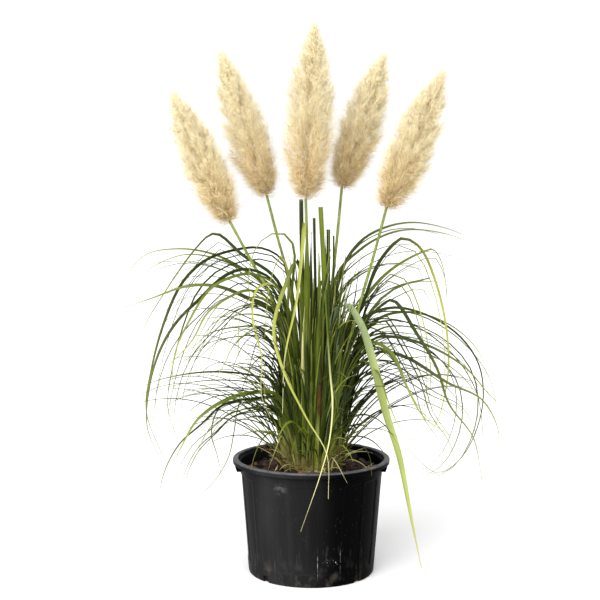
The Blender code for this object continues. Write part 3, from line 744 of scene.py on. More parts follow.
# Leaves: long ribbed blades, folded along a pale midrib, with hard thin edges. They rise from the crown
# and arch over under their own weight; the stiff ones in the middle were cut off flat.
DARK, MID, BRIGHT, BROAD = "dark_green", "mid_green", "bright_green", "light_green"
YELLOW, STRAW, RUST, MILKY = "yellow_green", "pale_straw", "rusty", "milky_green"
LEAVES = (
    ("leaf_left_1", 8, (3, 160), DARK,
     (-5.6, 3.4, 51), (-12.5, 3.8, 56.5), (-16.5, 4, 60), (-18, 4, 60), (-21.5, 4, 56.5),
     (-29, 5, 45.5), (-32, 5.5, 40.5), (-34, 6, 40)),
    ("leaf_left_2", 6, (3, 140), MID,
     (-6.5, 5, 49.5), (-11.5, 7.5, 53), (-17.5, 10, 56), (-24.5, 12.5, 57), (-31.5, 15, 55.5),
     (-36, 17.5, 49.5), (-36.5, 20, 47.5)),
    ("leaf_left_3", 5.5, (3, 120), MID,
     (-7, 7, 48), (-10.5, 11, 52), (-17.5, 14.5, 55), (-24.5, 18.5, 55.5), (-32, 22, 52), (-36.5, 26, 46.5)),
    ("leaf_left_4", 8, (2, 150), DARK,
     (-4.4, 2.2, 54.5), (-8.5, 4, 57.5), (-14.5, 5.5, 57), (-19.5, 6.5, 55), (-23.5, 7, 51),
     (-27, 8, 43.5), (-29.5, 8.5, 34.5), (-30.5, 9, 27), (-27.5, 10, 18)),
    ("leaf_left_5", 11, (3, 200), DARK,
     (-6.5, -3, 46.5), (-11.5, -4, 49.5), (-16.5, -5, 51.5), (-21.5, -6, 51.5), (-27.5, -7, 49.5),
     (-32, -8, 48)),
    ("leaf_left_6", 9, (2, 180), DARK,
     (-6, 0, 51), (-11, 0.5, 54), (-15, 1, 53), (-20, 1, 48.5), (-24, 1.5, 44.5),
     (-27, 2, 39.5), (-29, 2, 33), (-29.5, 2.5, 25), (-27, 3, 19)),
    ("leaf_left_7", 7, (2, 210), MID,
     (-5, -2.6, 50), (-10, -4.5, 53.5), (-14, -6, 53), (-17.5, -7.5, 51), (-21, -9, 45.5),
     (-23, -10, 41), (-23.5, -11, 36.5), (-21.5, -12.5, 31)),
    ("leaf_left_8", 6.5, (3, 220), MID,
     (-6, -5, 47.5), (-10.5, -8, 51), (-14, -10.5, 50), (-17.5, -12.5, 47.5), (-20, -14, 43), (-26, -17, 37)),
    ("leaf_left_9", 7, (4, 165), DARK,
     (-6.5, 2, 33.5), (-10, 3.5, 34.5), (-15.5, 5, 35), (-21.5, 7, 34.5), (-28, 8.5, 33), (-32.5, 10, 31)),
    ("leaf_left_10", 9, (4, 210), DARK,
     (-6, -4, 31.5), (-10, -5.5, 32), (-15.5, -7, 31), (-19, -8.5, 28), (-22.5, -10, 25),
     (-25, -11.5, 20.5), (-26, -13, 15.5)),
    ("leaf_left_11", 8, (4, 225), MID,
     (-5.6, -6.2, 32.5), (-10.5, -9, 33.5), (-15, -11.5, 32.5), (-19, -14.5, 30), (-21.5, -17.5, 26),
     (-23, -20, 23)),
    ("leaf_left_12", 5, (2, 240), YELLOW,
     (-4, -5, 48), (-7, -6.5, 52), (-9.5, -8, 51), (-10, -9.5, 46), (-8.5, -10.5, 40),
     (-8.5, -11.5, 33.5), (-7, -13, 30)),
    ("leaf_left_13", 8, (1, 240), YELLOW,
     (-1.6, -3, 40), (-2, -3.6, 54.5), (-2.7, -4.6, 56), (-4, -5.5, 53), (-6.5, -7.5, 44.5),
     (-5, -10, 38), (-1, -12.5, 30), (2.5, -14.6, 24), (2.7, -16.5, 17)),
    ("leaf_left_14", 8, (1, 300), YELLOW,
     (-0.2, -2.2, 40), (-0.8, -2.4, 61.5), (-1.1, -3, 62.5), (-1.6, -4.2, 58), (-2.6, -5.8, 49),
     (-4.6, -7.6, 39.5), (-5, -9, 30)),
    ("leaf_left_15", 4.5, (3, 100), MID,
     (-3.6, 6.2, 37), (-9, 9.5, 42.5), (-13.5, 11.5, 42.5), (-19, 14, 41), (-23, 17, 37.5), (-29, 20, 33.5)),
    ("leaf_left_16", 4.5, (3, 80), MID,
     (-3.5, 6.5, 42), (-9, 12, 44.5), (-14.5, 17, 44), (-19, 21.5, 41), (-22, 26, 35)),
    ("leaf_right_1", 7, (2, 30), DARK,
     (5, 3.6, 52), (8.5, 5.3, 58.3), (13, 7, 61), (18.5, 9, 62), (24.5, 10.5, 61), (31, 12, 58.5)),
    ("leaf_right_2", 6, (3, 40), MID,
     (4.5, 6, 52), (9, 9, 57), (13.5, 11.5, 59.5), (18.5, 14.5, 60.5), (26, 17, 59.5), (36, 20, 55.5)),
    ("leaf_right_3", 9, (3, 0), DARK,
     (6.2, 0, 40), (9.5, 0, 49), (11.5, 0, 54.5), (14, 0, 58), (16, 0, 59.5), (19, 0, 58),
     (22, -0.5, 51.5), (24, -1, 42), (24, -1.5, 34.5), (21.5, -2, 26), (18, -2.5, 24), (16, -3, 24.5)),
    ("leaf_right_4", 7, (3, 20), MID,
     (6, 3.5, 42), (10.5, 5, 49.5), (14.5, 6.5, 53.5), (20, 8, 56.5), (22.5, 9, 57), (24.5, 10.5, 53.5),
     (25.5, 12, 44.5)),
    ("leaf_right_5", 5, (3, 60), DARK,
     (5, 6, 41), (10.5, 9, 47.5), (13.5, 12, 49), (17, 15.5, 50), (23, 20, 51)),
    ("leaf_right_6", 16, (3, 300), BROAD,
     (3, -3.6, 40), (4.3, -4.4, 47.5), (6, -6, 48.5), (8.5, -8.5, 45), (10.5, -10.5, 38.5),
     (12.5, -12.5, 30.5), (14.5, -14.5, 24), (16.5, -17, 13.5), (18, -19, 6)),
    ("leaf_right_7", 8, (3, 340), DARK,
     (6.7, -3, 41), (11.5, -3.7, 47.5), (14, -4.5, 49), (18, -6, 43.5), (21.5, -7.5, 37.5),
     (23.5, -8.5, 31.5), (27.5, -10, 26), (29, -11, 18.5)),
    ("leaf_right_8", 7, (4, 0), DARK,
     (6.5, 1, 38), (9.5, 2, 45), (14.5, 2.5, 47), (21, 3, 45.5), (27, 3.2, 41.5), (30.5, 3.5, 36),
     (31, 4, 28), (27.5, 4, 19.5), (23, 4.5, 16.5), (17, 5, 21.5)),
    ("leaf_right_9", 6, (4, 30), MID,
     (7.5, 4, 38), (12, 5.5, 44.5), (18.5, 9, 45.5), (26.5, 12.5, 42.5), (32.5, 16.5, 36.5), (34.5, 20, 30)),
    ("leaf_right_10", 7, (4, 345), DARK,
     (6.5, -1.5, 36), (11, -2.5, 42), (14, -3.5, 42.5), (20.5, -5, 41), (26.5, -7, 37.5),
     (31, -8.5, 32.5), (34, -10, 30.5)),
    ("leaf_right_11", 7, (4, 330), DARK,
     (6.5, -3.5, 34.5), (11.5, -5.5, 40), (16, -7.5, 39.5), (23, -10.5, 35.5), (28.5, -13, 33),
     (31, -15, 28), (30.5, -16.5, 25)),
    ("leaf_right_12", 7.5, (4, 315), MID,
     (5.5, -5, 35), (10, -7.5, 42), (13.5, -10, 40.5), (16, -12.5, 35), (18.5, -15, 30.5), (22.5, -18, 28)),
    ("leaf_back_1", 7, (2, 90), DARK,
     (0.5, 6, 44), (1.5, 10.5, 50), (3.5, 16, 51), (5.5, 22, 46), (7, 26.5, 37)),
    ("leaf_back_2", 6, (4, 105), MID,
     (-1.6, 7.4, 38), (-5, 13, 42), (-9.5, 19.5, 40), (-12, 25, 33), (-13.5, 28.5, 24)),
    ("leaf_back_3", 6, (4, 60), MID,
     (4, 6.5, 38), (8, 12, 42), (13, 18.5, 41), (18, 24, 35), (21, 27.5, 27)),
    ("leaf_back_4", 7, (4, 90), DARK,
     (0, 6.6, 36), (0.5, 12, 41), (0, 18.5, 41), (-1, 24, 35), (-1.5, 27.5, 26)),
    ("leaf_front_1", 6, (3, 285), STRAW,
     (1.9, -5.2, 40), (2.1, -5.8, 50), (2.3, -6.6, 51.2), (2.4, -7.4, 49), (3.1, -9, 37.5),
     (3.5, -11.5, 32), (2.9, -14.5, 26.4), (1.5, -17, 21.6), (-1.9, -18.5, 12)),
    ("leaf_upright_1", 9, (1, 180), DARK, (-1.5, 0.2, 40), (-1.8, 0.7, 66.3)),
    ("leaf_upright_2", 6, (1, 60), DARK, (0.8, 1.4, 45), (0.5, 1.7, 63)),
    ("leaf_upright_3", 10, (1, 0), BRIGHT, (1.9, -0.2, 35), (2.3, -0.5, 50), (1.6, -1.1, 65)),
    ("leaf_upright_4", 8, (2, 0), DARK, (3, 0.4, 40), (3, 0.7, 61)),
    ("leaf_upright_5", 4, (3, 320), DARK, (3.8, -1.4, 45), (3.9, -0.8, 60)),
    ("leaf_upright_6", 10, (1, 120), DARK, (-1.6, 1.9, 38), (-2.6, 2.5, 52), (-3, 2.7, 58)),
    ("leaf_upright_7", 10, (2, 300), BRIGHT, (1.4, -2.8, 36), (1.4, -3.2, 50), (1.2, -3.5, 57)),
    ("leaf_upright_8", 9, (2, 270), DARK, (0, -3.6, 33), (0.2, -4.6, 45), (0.2, -5.2, 52)),
)
# Thinner blades that the photo shows one by one beside a leaf: that leaf, width, spot and route.
THIN_BLADES = (
    ("leaf_left_11", 4, (4, 215), (-4.6, -5, 28.1), (-6.8, -6, 31.8), (-9.1, -8, 33.7), (-11.1, -9.5, 33.4),
     (-12.4, -10.5, 31.7), (-13.3, -11.5, 26.7), (-14.1, -12, 23.1), (-16.6, -12.5, 18.9),
     (-21.5, -13, 14.4)),
    ("leaf_left_10", 3, (4, 190), (-8.7, 0, 28.6), (-11.7, 1, 30.5), (-14.8, 2, 30.4), (-17.3, 3, 27.5),
     (-18, 3, 23.8), (-17, 3, 20.1), (-15.9, 3, 14.6)),
    ("leaf_left_12", 4.5, (2, 250), (-3.4, -4, 49), (-3, -4.5, 57.7), (-4.1, -5, 60.1), (-6.5, -5.5, 60.6),
     (-9.2, -6, 58.8), (-10.7, -7, 54.6), (-10.5, -8, 48.5), (-9.1, -8.5, 42.7), (-7.4, -9.5, 26.8)),
    ("leaf_left_12", 4.5, (2, 230), (-4.1, -3, 45.4), (-4.1, -4, 53.8), (-5.3, -5, 56.7), (-7, -6, 52.9),
     (-8, -6.5, 44.5), (-8.1, -7, 35.2)),
    ("leaf_left_12", 4.5, (3, 215), (-5.3, -3, 43.6), (-7.2, -5, 48.5), (-9.9, -6, 49.8), (-12, -7, 47.7),
     (-12.5, -8, 39.9), (-11.8, -8.5, 34.8), (-10.4, -9, 32.5)),
    ("leaf_right_10", 3.5, (4, 350), (6.8, 0, 43.3), (15.7, 2, 44.8), (24.7, 3, 39.3), (29.7, 3, 32),
     (31, 3, 24.7), (31, 3, 16.8), (30.1, 3, 14.2)),
    ("leaf_right_9", 3.5, (4, 0), (7.2, 2, 43.9), (16.8, 4, 46.1), (25.9, 5, 41.8), (32.2, 5, 34.4),
     (34, 5, 27.1), (34.5, 5, 21.2)),
)
CUT_LEAVES = (
    "leaf_upright_1", "leaf_upright_2", "leaf_upright_3", "leaf_upright_4", "leaf_upright_5", "leaf_right_5",
)
LEAF_STEPS = 56
THIN_NEIGHBOURS = 3
FOLD = 0.5
BLADE_THICKNESS = 0.5 * MM
WIDE_SECTION = (
    (-1, 0), (-0.5, 0), (0, 0), (0.5, 0), (1, 0), (0.5, -0.7), (0, -1), (-0.5, -0.7),
)
FINE_SECTION = ((-1, 0), (0, 0), (1, 0), (0, -1))


class Blades:
    """Gathers blades for one mesh. Each is lofted along a route and has a lane of its own on the map."""

    def __init__(self, section, lanes):
        self.section = section
        self.lanes = lanes
        self.corners = []
        self.faces = []
        self.places = []

    def grow(self, route, width, side, lane=0, cut=False, roll=(0, 0), neck=0.72, full=0.3, section=None):
        """Roll turns the blade about its own length, at its foot and its tip. It tapers beyond full."""
        section = section or self.section
        steps = len(route) - 1
        size = len(section)
        first = len(self.corners)
        for k, place in enumerate(route):
            share = k / steps
            ahead = (route[min(k + 1, steps)] - route[max(k - 1, 0)]).normalized()
            edge = (side - ahead * side.dot(ahead)).normalized()
            edge.rotate(Matrix.Rotation(roll[0] + (roll[1] - roll[0]) * share, 3, ahead))
            lift = ahead.cross(edge)
            taper = 1 - max(0.0, (share - full) / (1 - full)) ** 1.2
            if cut:
                taper = 1 - 0.2 * share
            half = width / 2 * min(1.0, neck + 1.4 * share) * max(taper, 0.10)
            for across, under in section:
                up = FOLD * half * (abs(across) - 1) + under * BLADE_THICKNESS * min(1, half / (1.2 * MM))
                self.corners.append(place + edge * (half * across) + lift * up)
        low = (lane + 0.02) / self.lanes
        wide = 0.96 / self.lanes
        over = [low + wide * (across + 1) / 2 for across, under in section]
        ripe = 0.85 if cut else 1.0
        for k in range(steps):
            here = ripe * k / steps
            beyond = ripe * (k + 1) / steps
            for i in range(size):
                j = (i + 1) % size
                a = first + k * size
                self.faces.append((a + j, a + i, a + size + i, a + size + j))
                self.places += [(over[j], here), (over[i], here), (over[i], beyond), (over[j], beyond)]
        self.faces.append(tuple(first + i for i in range(size)))
        self.places += [(u, 0) for u in over]
        self.faces.append(tuple(first + steps * size + i for i in reversed(range(size))))
        self.places += [(u, ripe) for u in reversed(over)]

    def made(self, name):
        piece = mesh_piece(name, self.corners, self.faces, self.places)
        choose(piece)
        bpy.ops.object.shade_smooth_by_angle(angle=math.radians(60))
        return piece


def side_of(route):
    """The level direction across a leaf, square to the way that it leans."""
    lean = route[-1] - route[0]
    return Vector((-lean.y, lean.x, 0)).normalized()


LEAF_TONES = {
    DARK: ((0.004, 0.008, 0.001), (0.028, 0.044, 0.005), (0.19, 0.21, 0.05)),
    MID: ((0.014, 0.025, 0.002), (0.090, 0.122, 0.011), (0.29, 0.30, 0.08)),
    BRIGHT: ((0.060, 0.085, 0.005), (0.25, 0.30, 0.032), (0.34, 0.34, 0.08)),
    YELLOW: ((0.16, 0.18, 0.020), (0.36, 0.37, 0.085), (0.56, 0.53, 0.29)),
    STRAW: ((0.32, 0.31, 0.11), (0.58, 0.57, 0.28), (0.50, 0.44, 0.22)),
    BROAD: ((0.13, 0.16, 0.045), (0.29, 0.33, 0.10), (0.34, 0.33, 0.10)),
    MILKY: ((0.090, 0.120, 0.055), (0.23, 0.28, 0.135), (0.27, 0.31, 0.12)),
    RUST: ((0.035, 0.013, 0.004), (0.17, 0.070, 0.022), (0.28, 0.18, 0.07)),
}
PALE_SHEATH = (0.21, 0.24, 0.045)
BROWN_FOOT = (0.17, 0.13, 0.045)


def blade_finish(name, lanes, bands, slack=0.5, foot=None, turning=0.55, sheath=0.26, drying=0.8):
    """Living blades: ribs and a pale midrib across, a pale sheath below and a drying tip above.

    The bands give the first lane of each tone of leaf. A foot of another tone passes into it at turning.
    The sheath reaches up to one share of the length, and the blade dries beyond another.
    """
    leaf = Finish(name)
    lane, across, along = lane_of(leaf, lanes)
    tones = [LEAF_TONES[bands[0][1]][part] for part in range(3)]
    for first, tone in bands[1:]:
        beyond = lane.rising(first - 0.6, first - 0.4)
        tones = [beyond.between(tones[part], LEAF_TONES[tone][part]) for part in range(3)]
    if foot:
        aged = along.rising(turning - 0.1, turning + 0.1)
        tones = [aged.between(LEAF_TONES[foot][part], tones[part]) for part in range(3)]
    deep, light, tip = tones
    luck = chance(leaf, lane, 0.5)
    from_rib = abs(across * 2 - 1)
    ribs = (across * 75).wave() * 0.5 + 0.5
    drawn = leaf.node("CombineXYZ", {"X": across * 1.6 + lane * 5, "Y": along * 2.2})
    mottle = leaf.node("TexNoise", {"Vector": drawn, "Scale": 2.6, "Detail": 3.0})
    patches = leaf.grain(16, detail=3)
    body = (mottle.rising(0.3, 0.7) * 0.5 + patches.rising(0.35, 0.65) * 0.5).between(deep, light)
    body = ((luck - 0.5) * slack + 0.2).larger(0).between(body, light)
    body = (ribs * 0.25).between(body, deep)
    body = (from_rib.rising(0.12, 0.02) * 0.16).between(body, (0.32, 0.36, 0.08))
    body = (from_rib.rising(0.86, 1.0) * 0.22).between(body, (0.26, 0.32, 0.04))
    body = (luck.rising(0.4, 0.0) * 0.75).between(body, deep)
    paling = along.rising(sheath, 0.5 * sheath) * luck.rising(0.3, 0.9)
    body = (paling * 0.85).between(body, PALE_SHEATH)
    body = (along.rising(0.22, 0.04) * 0.85).between(body, BROWN_FOOT)
    body = (along.rising(drying, 1.0) * (0.35 + luck * 0.6)).between(body, tip)
    leaf.coat(
        Base_Color=body, Roughness=0.42 + mottle * 0.12, Specular_IOR_Level=0.12,
        Normal=leaf.bump(ribs, 0.12 * MM, 0.5),
    )
    leaf.thin(0.16, body)
    return leaf.material


LEAF_SLOTS = {
    DARK: "leaf_dark_green", MID: "leaf_mid_green", BRIGHT: "leaf_mid_green", YELLOW: "leaf_yellow_green",
    STRAW: "leaf_pale_straw", BROAD: "leaf_mid_green",
}
single_finish = {tone: blade_finish(f"leaf_{tone}", 1, ((0, tone),), drying=0.55) for tone in (DARK, MID)}
single_finish[YELLOW] = blade_finish("leaf_yellow_green", 1, ((0, YELLOW),), foot=MID)
single_finish[STRAW] = blade_finish("leaf_pale_straw", 1, ((0, STRAW),), foot=MID, turning=0.62)
ageing_finish = blade_finish("leaf_ageing", 1, ((0, YELLOW),), foot=DARK)
single_finish[BROAD] = blade_finish("leaf_light_green", 1, ((0, BROAD),), foot=MILKY)

pick = random.Random(23)
for name, width, spot, tone, *via in LEAVES:
    if "upright" in name:
        continue
    route = smooth_route(full_route(spot, via), LEAF_STEPS)
    towards = 1 if route[-1].x > route[0].x else -1
    turned = towards * (1 if tone != DARK else pick.choice((1, 1, -1)))
    roll = (turned * pick.uniform(0.3, 0.6), turned * pick.uniform(0.8, 1.1))
    full = 0.52
    if tone == BROAD:
        roll = (-0.4, 0.8)
        full = 0.6
    if tone == STRAW:
        roll = (1.2, 0.3)
        full = 0.6
        width *= 0.8
    blade = Blades(WIDE_SECTION, 1)
    blade.grow(route, width * MM, side_of(route), cut=name in CUT_LEAVES, full=full, roll=roll)
    if tone in (DARK, MID) and name not in CUT_LEAVES:
        for k in range(THIN_NEIGHBOURS):
            aside = pick.choice((-1, 1)) * pick.uniform(0.03, 0.2)
            lie = Matrix.Rotation(aside, 3, "Z") * pick.uniform(0.8, 0.98)
            thin_route = [route[0] + lie @ (place - route[0]) for place in route[::2]]
            blade.grow(
                thin_route, pick.uniform(3, 5.2) * MM, side_of(thin_route), section=FINE_SECTION,
                roll=(pick.uniform(-0.6, 0.6), pick.uniform(-0.8, 0.8)), neck=0.5, full=0.5,
            )
    for leaf_name, thin_width, thin_spot, *thin_via in THIN_BLADES:
        if leaf_name == name:
            thin_route = smooth_route(full_route(thin_spot, thin_via), 36)
            blade.grow(thin_route, thin_width * MM, side_of(thin_route), roll=(0.4, 0.9), neck=0.5, full=0.6)
    finish = ageing_finish if name == "leaf_right_3" else single_finish[tone]
    dress(blade.made(name.replace("leaf", "blade")), finish, LEAF_SLOTS[tone], name)


# Upright shoots: each is a tall stiff leaf, cut off flat, with the younger blades that stand around it.
# The blades of a shoot are of all ages, from dark green through yellow to dry and rusty.
SHEAF_LANES = 22
SHEAF_BANDS = ((0, DARK), (6, MID), (11, BRIGHT), (14, YELLOW), (16, STRAW), (18, RUST), (20, MILKY))
YOUNG_LANES = (0, 1, 3, 4, 5, 6, 7, 8, 9, 10, 11, 12, 13, 13, 14)
SHEAF_BLADES = 9
SHEAF_STEPS = 36
TONE_LANES = {DARK: 2, MID: 8, BRIGHT: 12, YELLOW: 15, STRAW: 17, RUST: 19, MILKY: 21}
# Blades that the photo shows one by one: the shoot, width in mm, spot, tone and route in centimetres.
SINGLE_BLADES = (
    ("leaf_upright_1", 6, (2, 225), STRAW, (-1.5, -5.4, 32), (-1.5, -5.6, 42), (-1.2, -5.8, 48)),
    ("leaf_upright_1", 14, (2, 250), BRIGHT, (-1, -3, 32), (-0.9, -2.8, 48), (-0.8, -2.6, 63.4)),
    ("leaf_upright_7", 4, (2, 310), MID,
     (2.4, -3.8, 42), (2.6, -4.2, 53), (2.8, -5, 53.8), (2.9, -5.4, 48), (3.3, -5.8, 38), (4.8, -6.4, 28)),
    ("leaf_upright_8", 7, (2, 285), RUST, (1.3, -5.6, 30), (1.5, -5.9, 39), (1.6, -6, 44)),
    ("leaf_upright_8", 9, (2, 262), MID, (-0.6, -5, 30), (-0.9, -5.3, 38), (-1.2, -5.6, 46)),
    ("leaf_upright_4", 9, (3, 320), MID, (3.4, -3, 32), (3.8, -3.2, 45), (4.1, -3.4, 53)),
    ("leaf_upright_4", 14, (3, 300), MILKY, (3.2, -4.8, 28), (4.2, -5.2, 36), (4.7, -5.4, 43), (5, -5.6, 48)),
    ("leaf_upright_2", 12, (1, 60), DARK, (0.2, 1, 40), (-0.1, 1.2, 52), (0, 1.4, 60.5)),
    ("leaf_upright_3", 11, (1, 330), BRIGHT, (1.5, -0.8, 35), (1.4, -1, 50), (1.3, -1.2, 58.5)),
    ("leaf_upright_3", 10, (2, 15), MID, (2.5, 0.4, 35), (2.6, 0.2, 50), (2.5, 0, 60)),
    ("leaf_upright_3", 8, (2, 335), DARK, (2.9, -0.8, 38), (3.1, -0.6, 50), (3, -0.4, 61)),
)


def springing_route(start, degrees, sheath, first_lean, length, last_lean, steps):
    """A route that is straight for its sheath's length, and then leans over more and more."""
    out = polar(1, degrees)
    route = [start.copy()]
    total = sheath + length
    for k in range(steps):
        bent = max(0.0, total * (k + 0.5) / steps - sheath) / length
        lean = math.radians(first_lean + (last_lean - first_lean) * bent ** 0.85)
        route.append(route[-1] + (out * math.sin(lean) + Vector((0, 0, math.cos(lean)))) * total / steps)
    return route


sheaf_finish = blade_finish("leaf_sheaf", SHEAF_LANES, SHEAF_BANDS, sheath=0.55)
pick = random.Random(31)
for name, width, spot, tone, *via in LEAVES:
    if "upright" not in name:
        continue
    sheaf = Blades(WIDE_SECTION, SHEAF_LANES)
    route = smooth_route(full_route(spot, via), LEAF_STEPS)
    sheaf.grow(
        route, width * MM, Vector((1, 0, 0)), lane=TONE_LANES[tone], cut=name in CUT_LEAVES, roll=(0.3, -0.2),
    )
    for shoot, single_width, single_spot, single_tone, *single_via in SINGLE_BLADES:
        if shoot == name:
            route = smooth_route(full_route(single_spot, single_via), LEAF_STEPS)
            sheaf.grow(
                route, single_width * MM, Vector((0.97, 0.24, 0)), lane=TONE_LANES[single_tone], full=0.62,
            )
    ring, bearing = spot
    tallest = min(0.94 * (via[-1][2] * CM - SOIL_TOP), 39 * CM)
    for k in range(SHEAF_BLADES):
        radius = RING_RADII[ring] + pick.uniform(-8, 16) * MM
        start = polar(radius, bearing + pick.uniform(-55, 55), SOIL_TOP)
        outward = math.degrees(math.atan2(start.y, start.x))
        tall = tallest * pick.uniform(0.62, 1.0)
        route = springing_route(
            start, outward + pick.uniform(-25, 25), 0.6 * tall, pick.uniform(0, 4), 0.42 * tall,
            pick.uniform(4, 34), SHEAF_STEPS,
        )
        turn = outward + 90 + pick.uniform(-40, 40)
        sheaf.grow(
            route, pick.uniform(8, 13) * MM, polar(1, turn), lane=pick.choice(YOUNG_LANES), full=0.5,
            roll=(pick.uniform(-0.3, 0.3), pick.uniform(-0.4, 0.4)),
        )
    dress(sheaf.made(name.replace("leaf", "sheaf")), sheaf_finish, LEAF_SLOTS[tone], name)


# Edge shoots: the youngest growth around the clump, each a tuft of narrow blades that stand in one sheath
# and then arch outwards. Every tuft is one piece, as it pulls away from the clump.
SHOOTS = (
    (15, 22, 10, 40, MID, 26, 12, 0.8, 44),
    (45, 20, 9, 44, DARK, 26, 12, 0.8, 44),
    (130, 22, 9, 41, DARK, 20, 7, 0.7, 30),
    (182, 20, 10, 38, MID, 17, 8, 0.6, 32),
    (235, 18, 9, 37, MID, 16, 7, 0.4, 40),
    (266, 13, 8, 18.5, DARK, 18, 4, 0.1, 44),
    (300, 15, 9, 30, DARK, 24, 9, 0.25, 46),
)
SHEATH_HEIGHT = 26 * MM
ARCH_DELAY = 1.35
FINE_STEPS = 16
FINE_LANES = 32
FINE_BANDS = ((0, DARK), (17, MID), (25, BRIGHT), (30, YELLOW))


def arching_route(start, degrees, length, first_lean, last_lean, steps):
    """A route that leans over more and more, as a blade does under its own weight."""
    out = polar(1, degrees)
    route = [start.copy()]
    for k in range(steps):
        lean = math.radians(first_lean + (last_lean - first_lean) * ((k + 0.5) / steps) ** ARCH_DELAY)
        route.append(route[-1] + (out * math.sin(lean) + Vector((0, 0, math.cos(lean)))) * length / steps)
    return route


fine_finish = blade_finish("leaf_fine", FINE_LANES, FINE_BANDS, slack=0.7, sheath=0.4)
pick = random.Random(5)
for number, (degrees, fan, count, longest, tone, tallest, tilt, arching, short) in enumerate(SHOOTS, 1):
    tuft = Blades(FINE_SECTION, FINE_LANES)
    foot = polar(RING_RADII[4], degrees, SOIL_TOP)
    for k in range(count):
        spread = fan * (2 * k / (count - 1) - 1)
        rise = k * 0.618 % 1
        droop = (0.3 + k * 0.382) % 1
        reach = k * 0.73 % 1
        route = arching_route(
            foot + polar(1.2 * MM, degrees + 3 * spread, SHEATH_HEIGHT * (0.45 + 0.4 * rise)),
            degrees + spread, longest * (0.6 + 0.4 * reach) * CM, 6 + 36 * (1 - rise), 108 + 45 * droop, 32
        )
        tuft.grow(
            route, 4.5 * MM, side_of(route), lane=pick.randrange(0, 27),
            roll=(pick.uniform(-0.5, 0.5), pick.uniform(-1, 1)), neck=0.9,
        )
    for k in range(short):
        spread = pick.gauss(0, 0.6) * fan
        start = polar(pick.uniform(24, 50) * MM, degrees + 1.3 * spread, SOIL_TOP)
        sheath = tallest * CM * pick.random() ** 0.8
        length = longest * CM * pick.uniform(0.2, 0.5)
        last_lean = pick.uniform(75, 130)
        if pick.random() > arching:
            length = tallest * CM * pick.uniform(0.3, 0.7)
            last_lean = pick.uniform(8, 50)
        route = springing_route(
            start, degrees + spread, sheath, tilt * pick.uniform(0.3, 1.2), length, last_lean, FINE_STEPS,
        )
        sway = Vector((pick.gauss(0, 1), pick.gauss(0, 1), 0)) * 0.04 * length
        route = [place + sway * (i / FINE_STEPS) ** 2 for i, place in enumerate(route)]
        tuft.grow(
            route, pick.uniform(5, 8.5) * MM, side_of(route), lane=pick.randrange(FINE_LANES - 1),
            roll=(pick.uniform(-0.7, 0.7), pick.uniform(-1.1, 1.1)), neck=0.9, full=0.45,
        )
    dress(tuft.made(f"tuft_{number}"), fine_finish, LEAF_SLOTS[tone], f"shoot_{number}")


# Dead leaves: dry straw-coloured and rusty bits of old blades. A fringe of them still stands around the
# foot of the clump, a few hang over the pot's lip, and the rest have fallen on the compost.
HANGING = (
    (3.5, STRAW, (-2.5, -4, 18.8), (-4.3, -7, 25), (-5.2, -8.6, 26), (-6, -10, 24.3), (-7.4, -12.1, 20.9)),
    (3, STRAW, (2.6, -4.4, 18.8), (3.3, -8, 22), (3.8, -11, 22.4), (4.6, -13.5, 21.5), (5.9, -14.6, 19.2)),
    (3, RUST, (-3.6, -3, 18.8), (-6, -4.5, 21.5), (-7.6, -6, 21), (-8.6, -7.4, 19)),
    (2.5, STRAW, (-1.6, -5, 18.8), (-3.6, -8, 20.2), (-4.8, -9.5, 19.8), (-5.6, -10.5, 18.6)),
    (3, MID, (4, -3, 18.8), (7.4, -6.4, 24), (9, -8.4, 24), (10, -10, 22.2), (10.2, -10.9, 19.6)),
    (2.5, STRAW, (4.4, 0.6, 18.8), (7, -2, 20.4), (9, -4, 20), (10.4, -6, 18.8)),
)
FRINGE = 64
FALLEN = 44

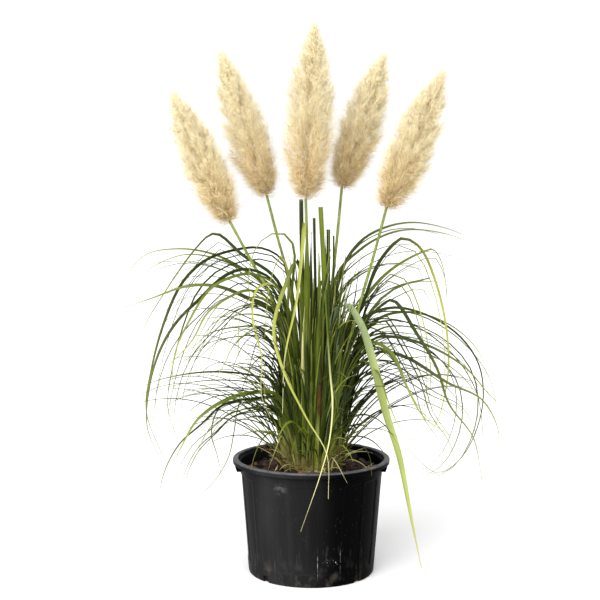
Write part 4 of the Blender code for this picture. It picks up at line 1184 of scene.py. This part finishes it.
pick = random.Random(61)
litter = Blades(FINE_SECTION, SHEAF_LANES)
for width, tone, *via in HANGING:
    route = smooth_route([Vector(p) * CM for p in via], 24)
    turned = pick.uniform(-0.6, 0.6)
    litter.grow(route, width * MM, side_of(route), lane=TONE_LANES[tone], roll=(turned, 0.5), neck=0.9)
for k in range(FRINGE):
    degrees = 360 * (k + pick.random()) / FRINGE
    length = pick.uniform(24, 75) * MM
    route = springing_route(
        polar(pick.uniform(38, 53) * MM, degrees, SOIL_TOP - 3 * MM), degrees + pick.uniform(-30, 30),
        0.25 * length, pick.uniform(5, 45), length, pick.uniform(60, 125), 12,
    )
    litter.grow(
        route, pick.uniform(2, 4.5) * MM, side_of(route), lane=pick.choice((16, 16, 17, 17, 18, 19)),
        roll=(pick.uniform(-0.5, 0.5), pick.uniform(-1, 1)), neck=0.9,
    )
for k in range(FALLEN):
    turn = pick.uniform(0, math.tau)
    radius = pick.uniform(52, 108) * MM
    heading_turn = pick.uniform(0, math.tau)
    length = pick.uniform(14, 52) * MM
    bow = pick.uniform(-0.35, 0.35)
    route = []
    for step in range(9):
        share = step / 8 - 0.5
        turned = heading_turn + bow * share
        x = radius * math.cos(turn) + share * length * math.cos(turned)
        y = radius * math.sin(turn) + share * length * math.sin(turned)
        inside = min(1, (SOIL_EDGE - 3 * MM) / math.hypot(x, y))
        x, y = x * inside, y * inside
        rest = compost_height(x, y) + pick.uniform(1.5, 2.5) * MM + (share + 0.5) * 0.1 * length
        route.append(Vector((x, y, rest)))
    litter.grow(
        route, pick.uniform(1.8, 3.6) * MM, side_of(route), lane=pick.choice((16, 17, 17, 18, 19)),
        roll=(0, pick.uniform(-1, 1)), neck=0.8,
    )
dress(litter.made("dead_leaves"), sheaf_finish, "leaf_pale_straw")


# The floor is a pale sweep under a white sky. A broad soft light falls from the left, and a weak one fills
# from the right.
bpy.ops.mesh.primitive_plane_add(size=30)
floor = bpy.context.object
floor.name = "floor"
paper = Finish("floor")
floor.data.materials.append(paper.coat(Base_Color=(0.66, 0.66, 0.66), Roughness=0.9, Specular_IOR_Level=0.1))

world = bpy.data.worlds.new("studio")
bpy.context.scene.world = world
world.use_nodes = True
world.node_tree.nodes["Background"].inputs["Color"].default_value = (1, 1, 1, 1)
world.node_tree.nodes["Background"].inputs["Strength"].default_value = 1.05
bpy.context.scene.view_settings.view_transform = "Standard"

SOFT_LIGHTS = (
    ("window_light", (-1.1, -1.9, 1.5), 50, 4.6),
    ("fill_light", (1.2, -2.4, 1.4), 50, 1.8),
)
for name, place, spread, strength in SOFT_LIGHTS:
    bpy.ops.object.light_add(type="SUN", location=place)
    light = bpy.context.object
    light.name = name
    light.data.angle = math.radians(spread)
    light.data.energy = strength
    light.rotation_euler = (-Vector(place)).to_track_quat("-Z", "Y").to_euler()

CAMERA_PLACE = (-0.02, -2.2, 0.69)
CAMERA_PITCH = 5.3
CAMERA_LENS = 75.06
bpy.ops.object.camera_add(location=CAMERA_PLACE, rotation=(math.radians(90 - CAMERA_PITCH), 0, 0))
camera = bpy.context.object
camera.data.lens = CAMERA_LENS
bpy.context.scene.camera = camera
deselect()
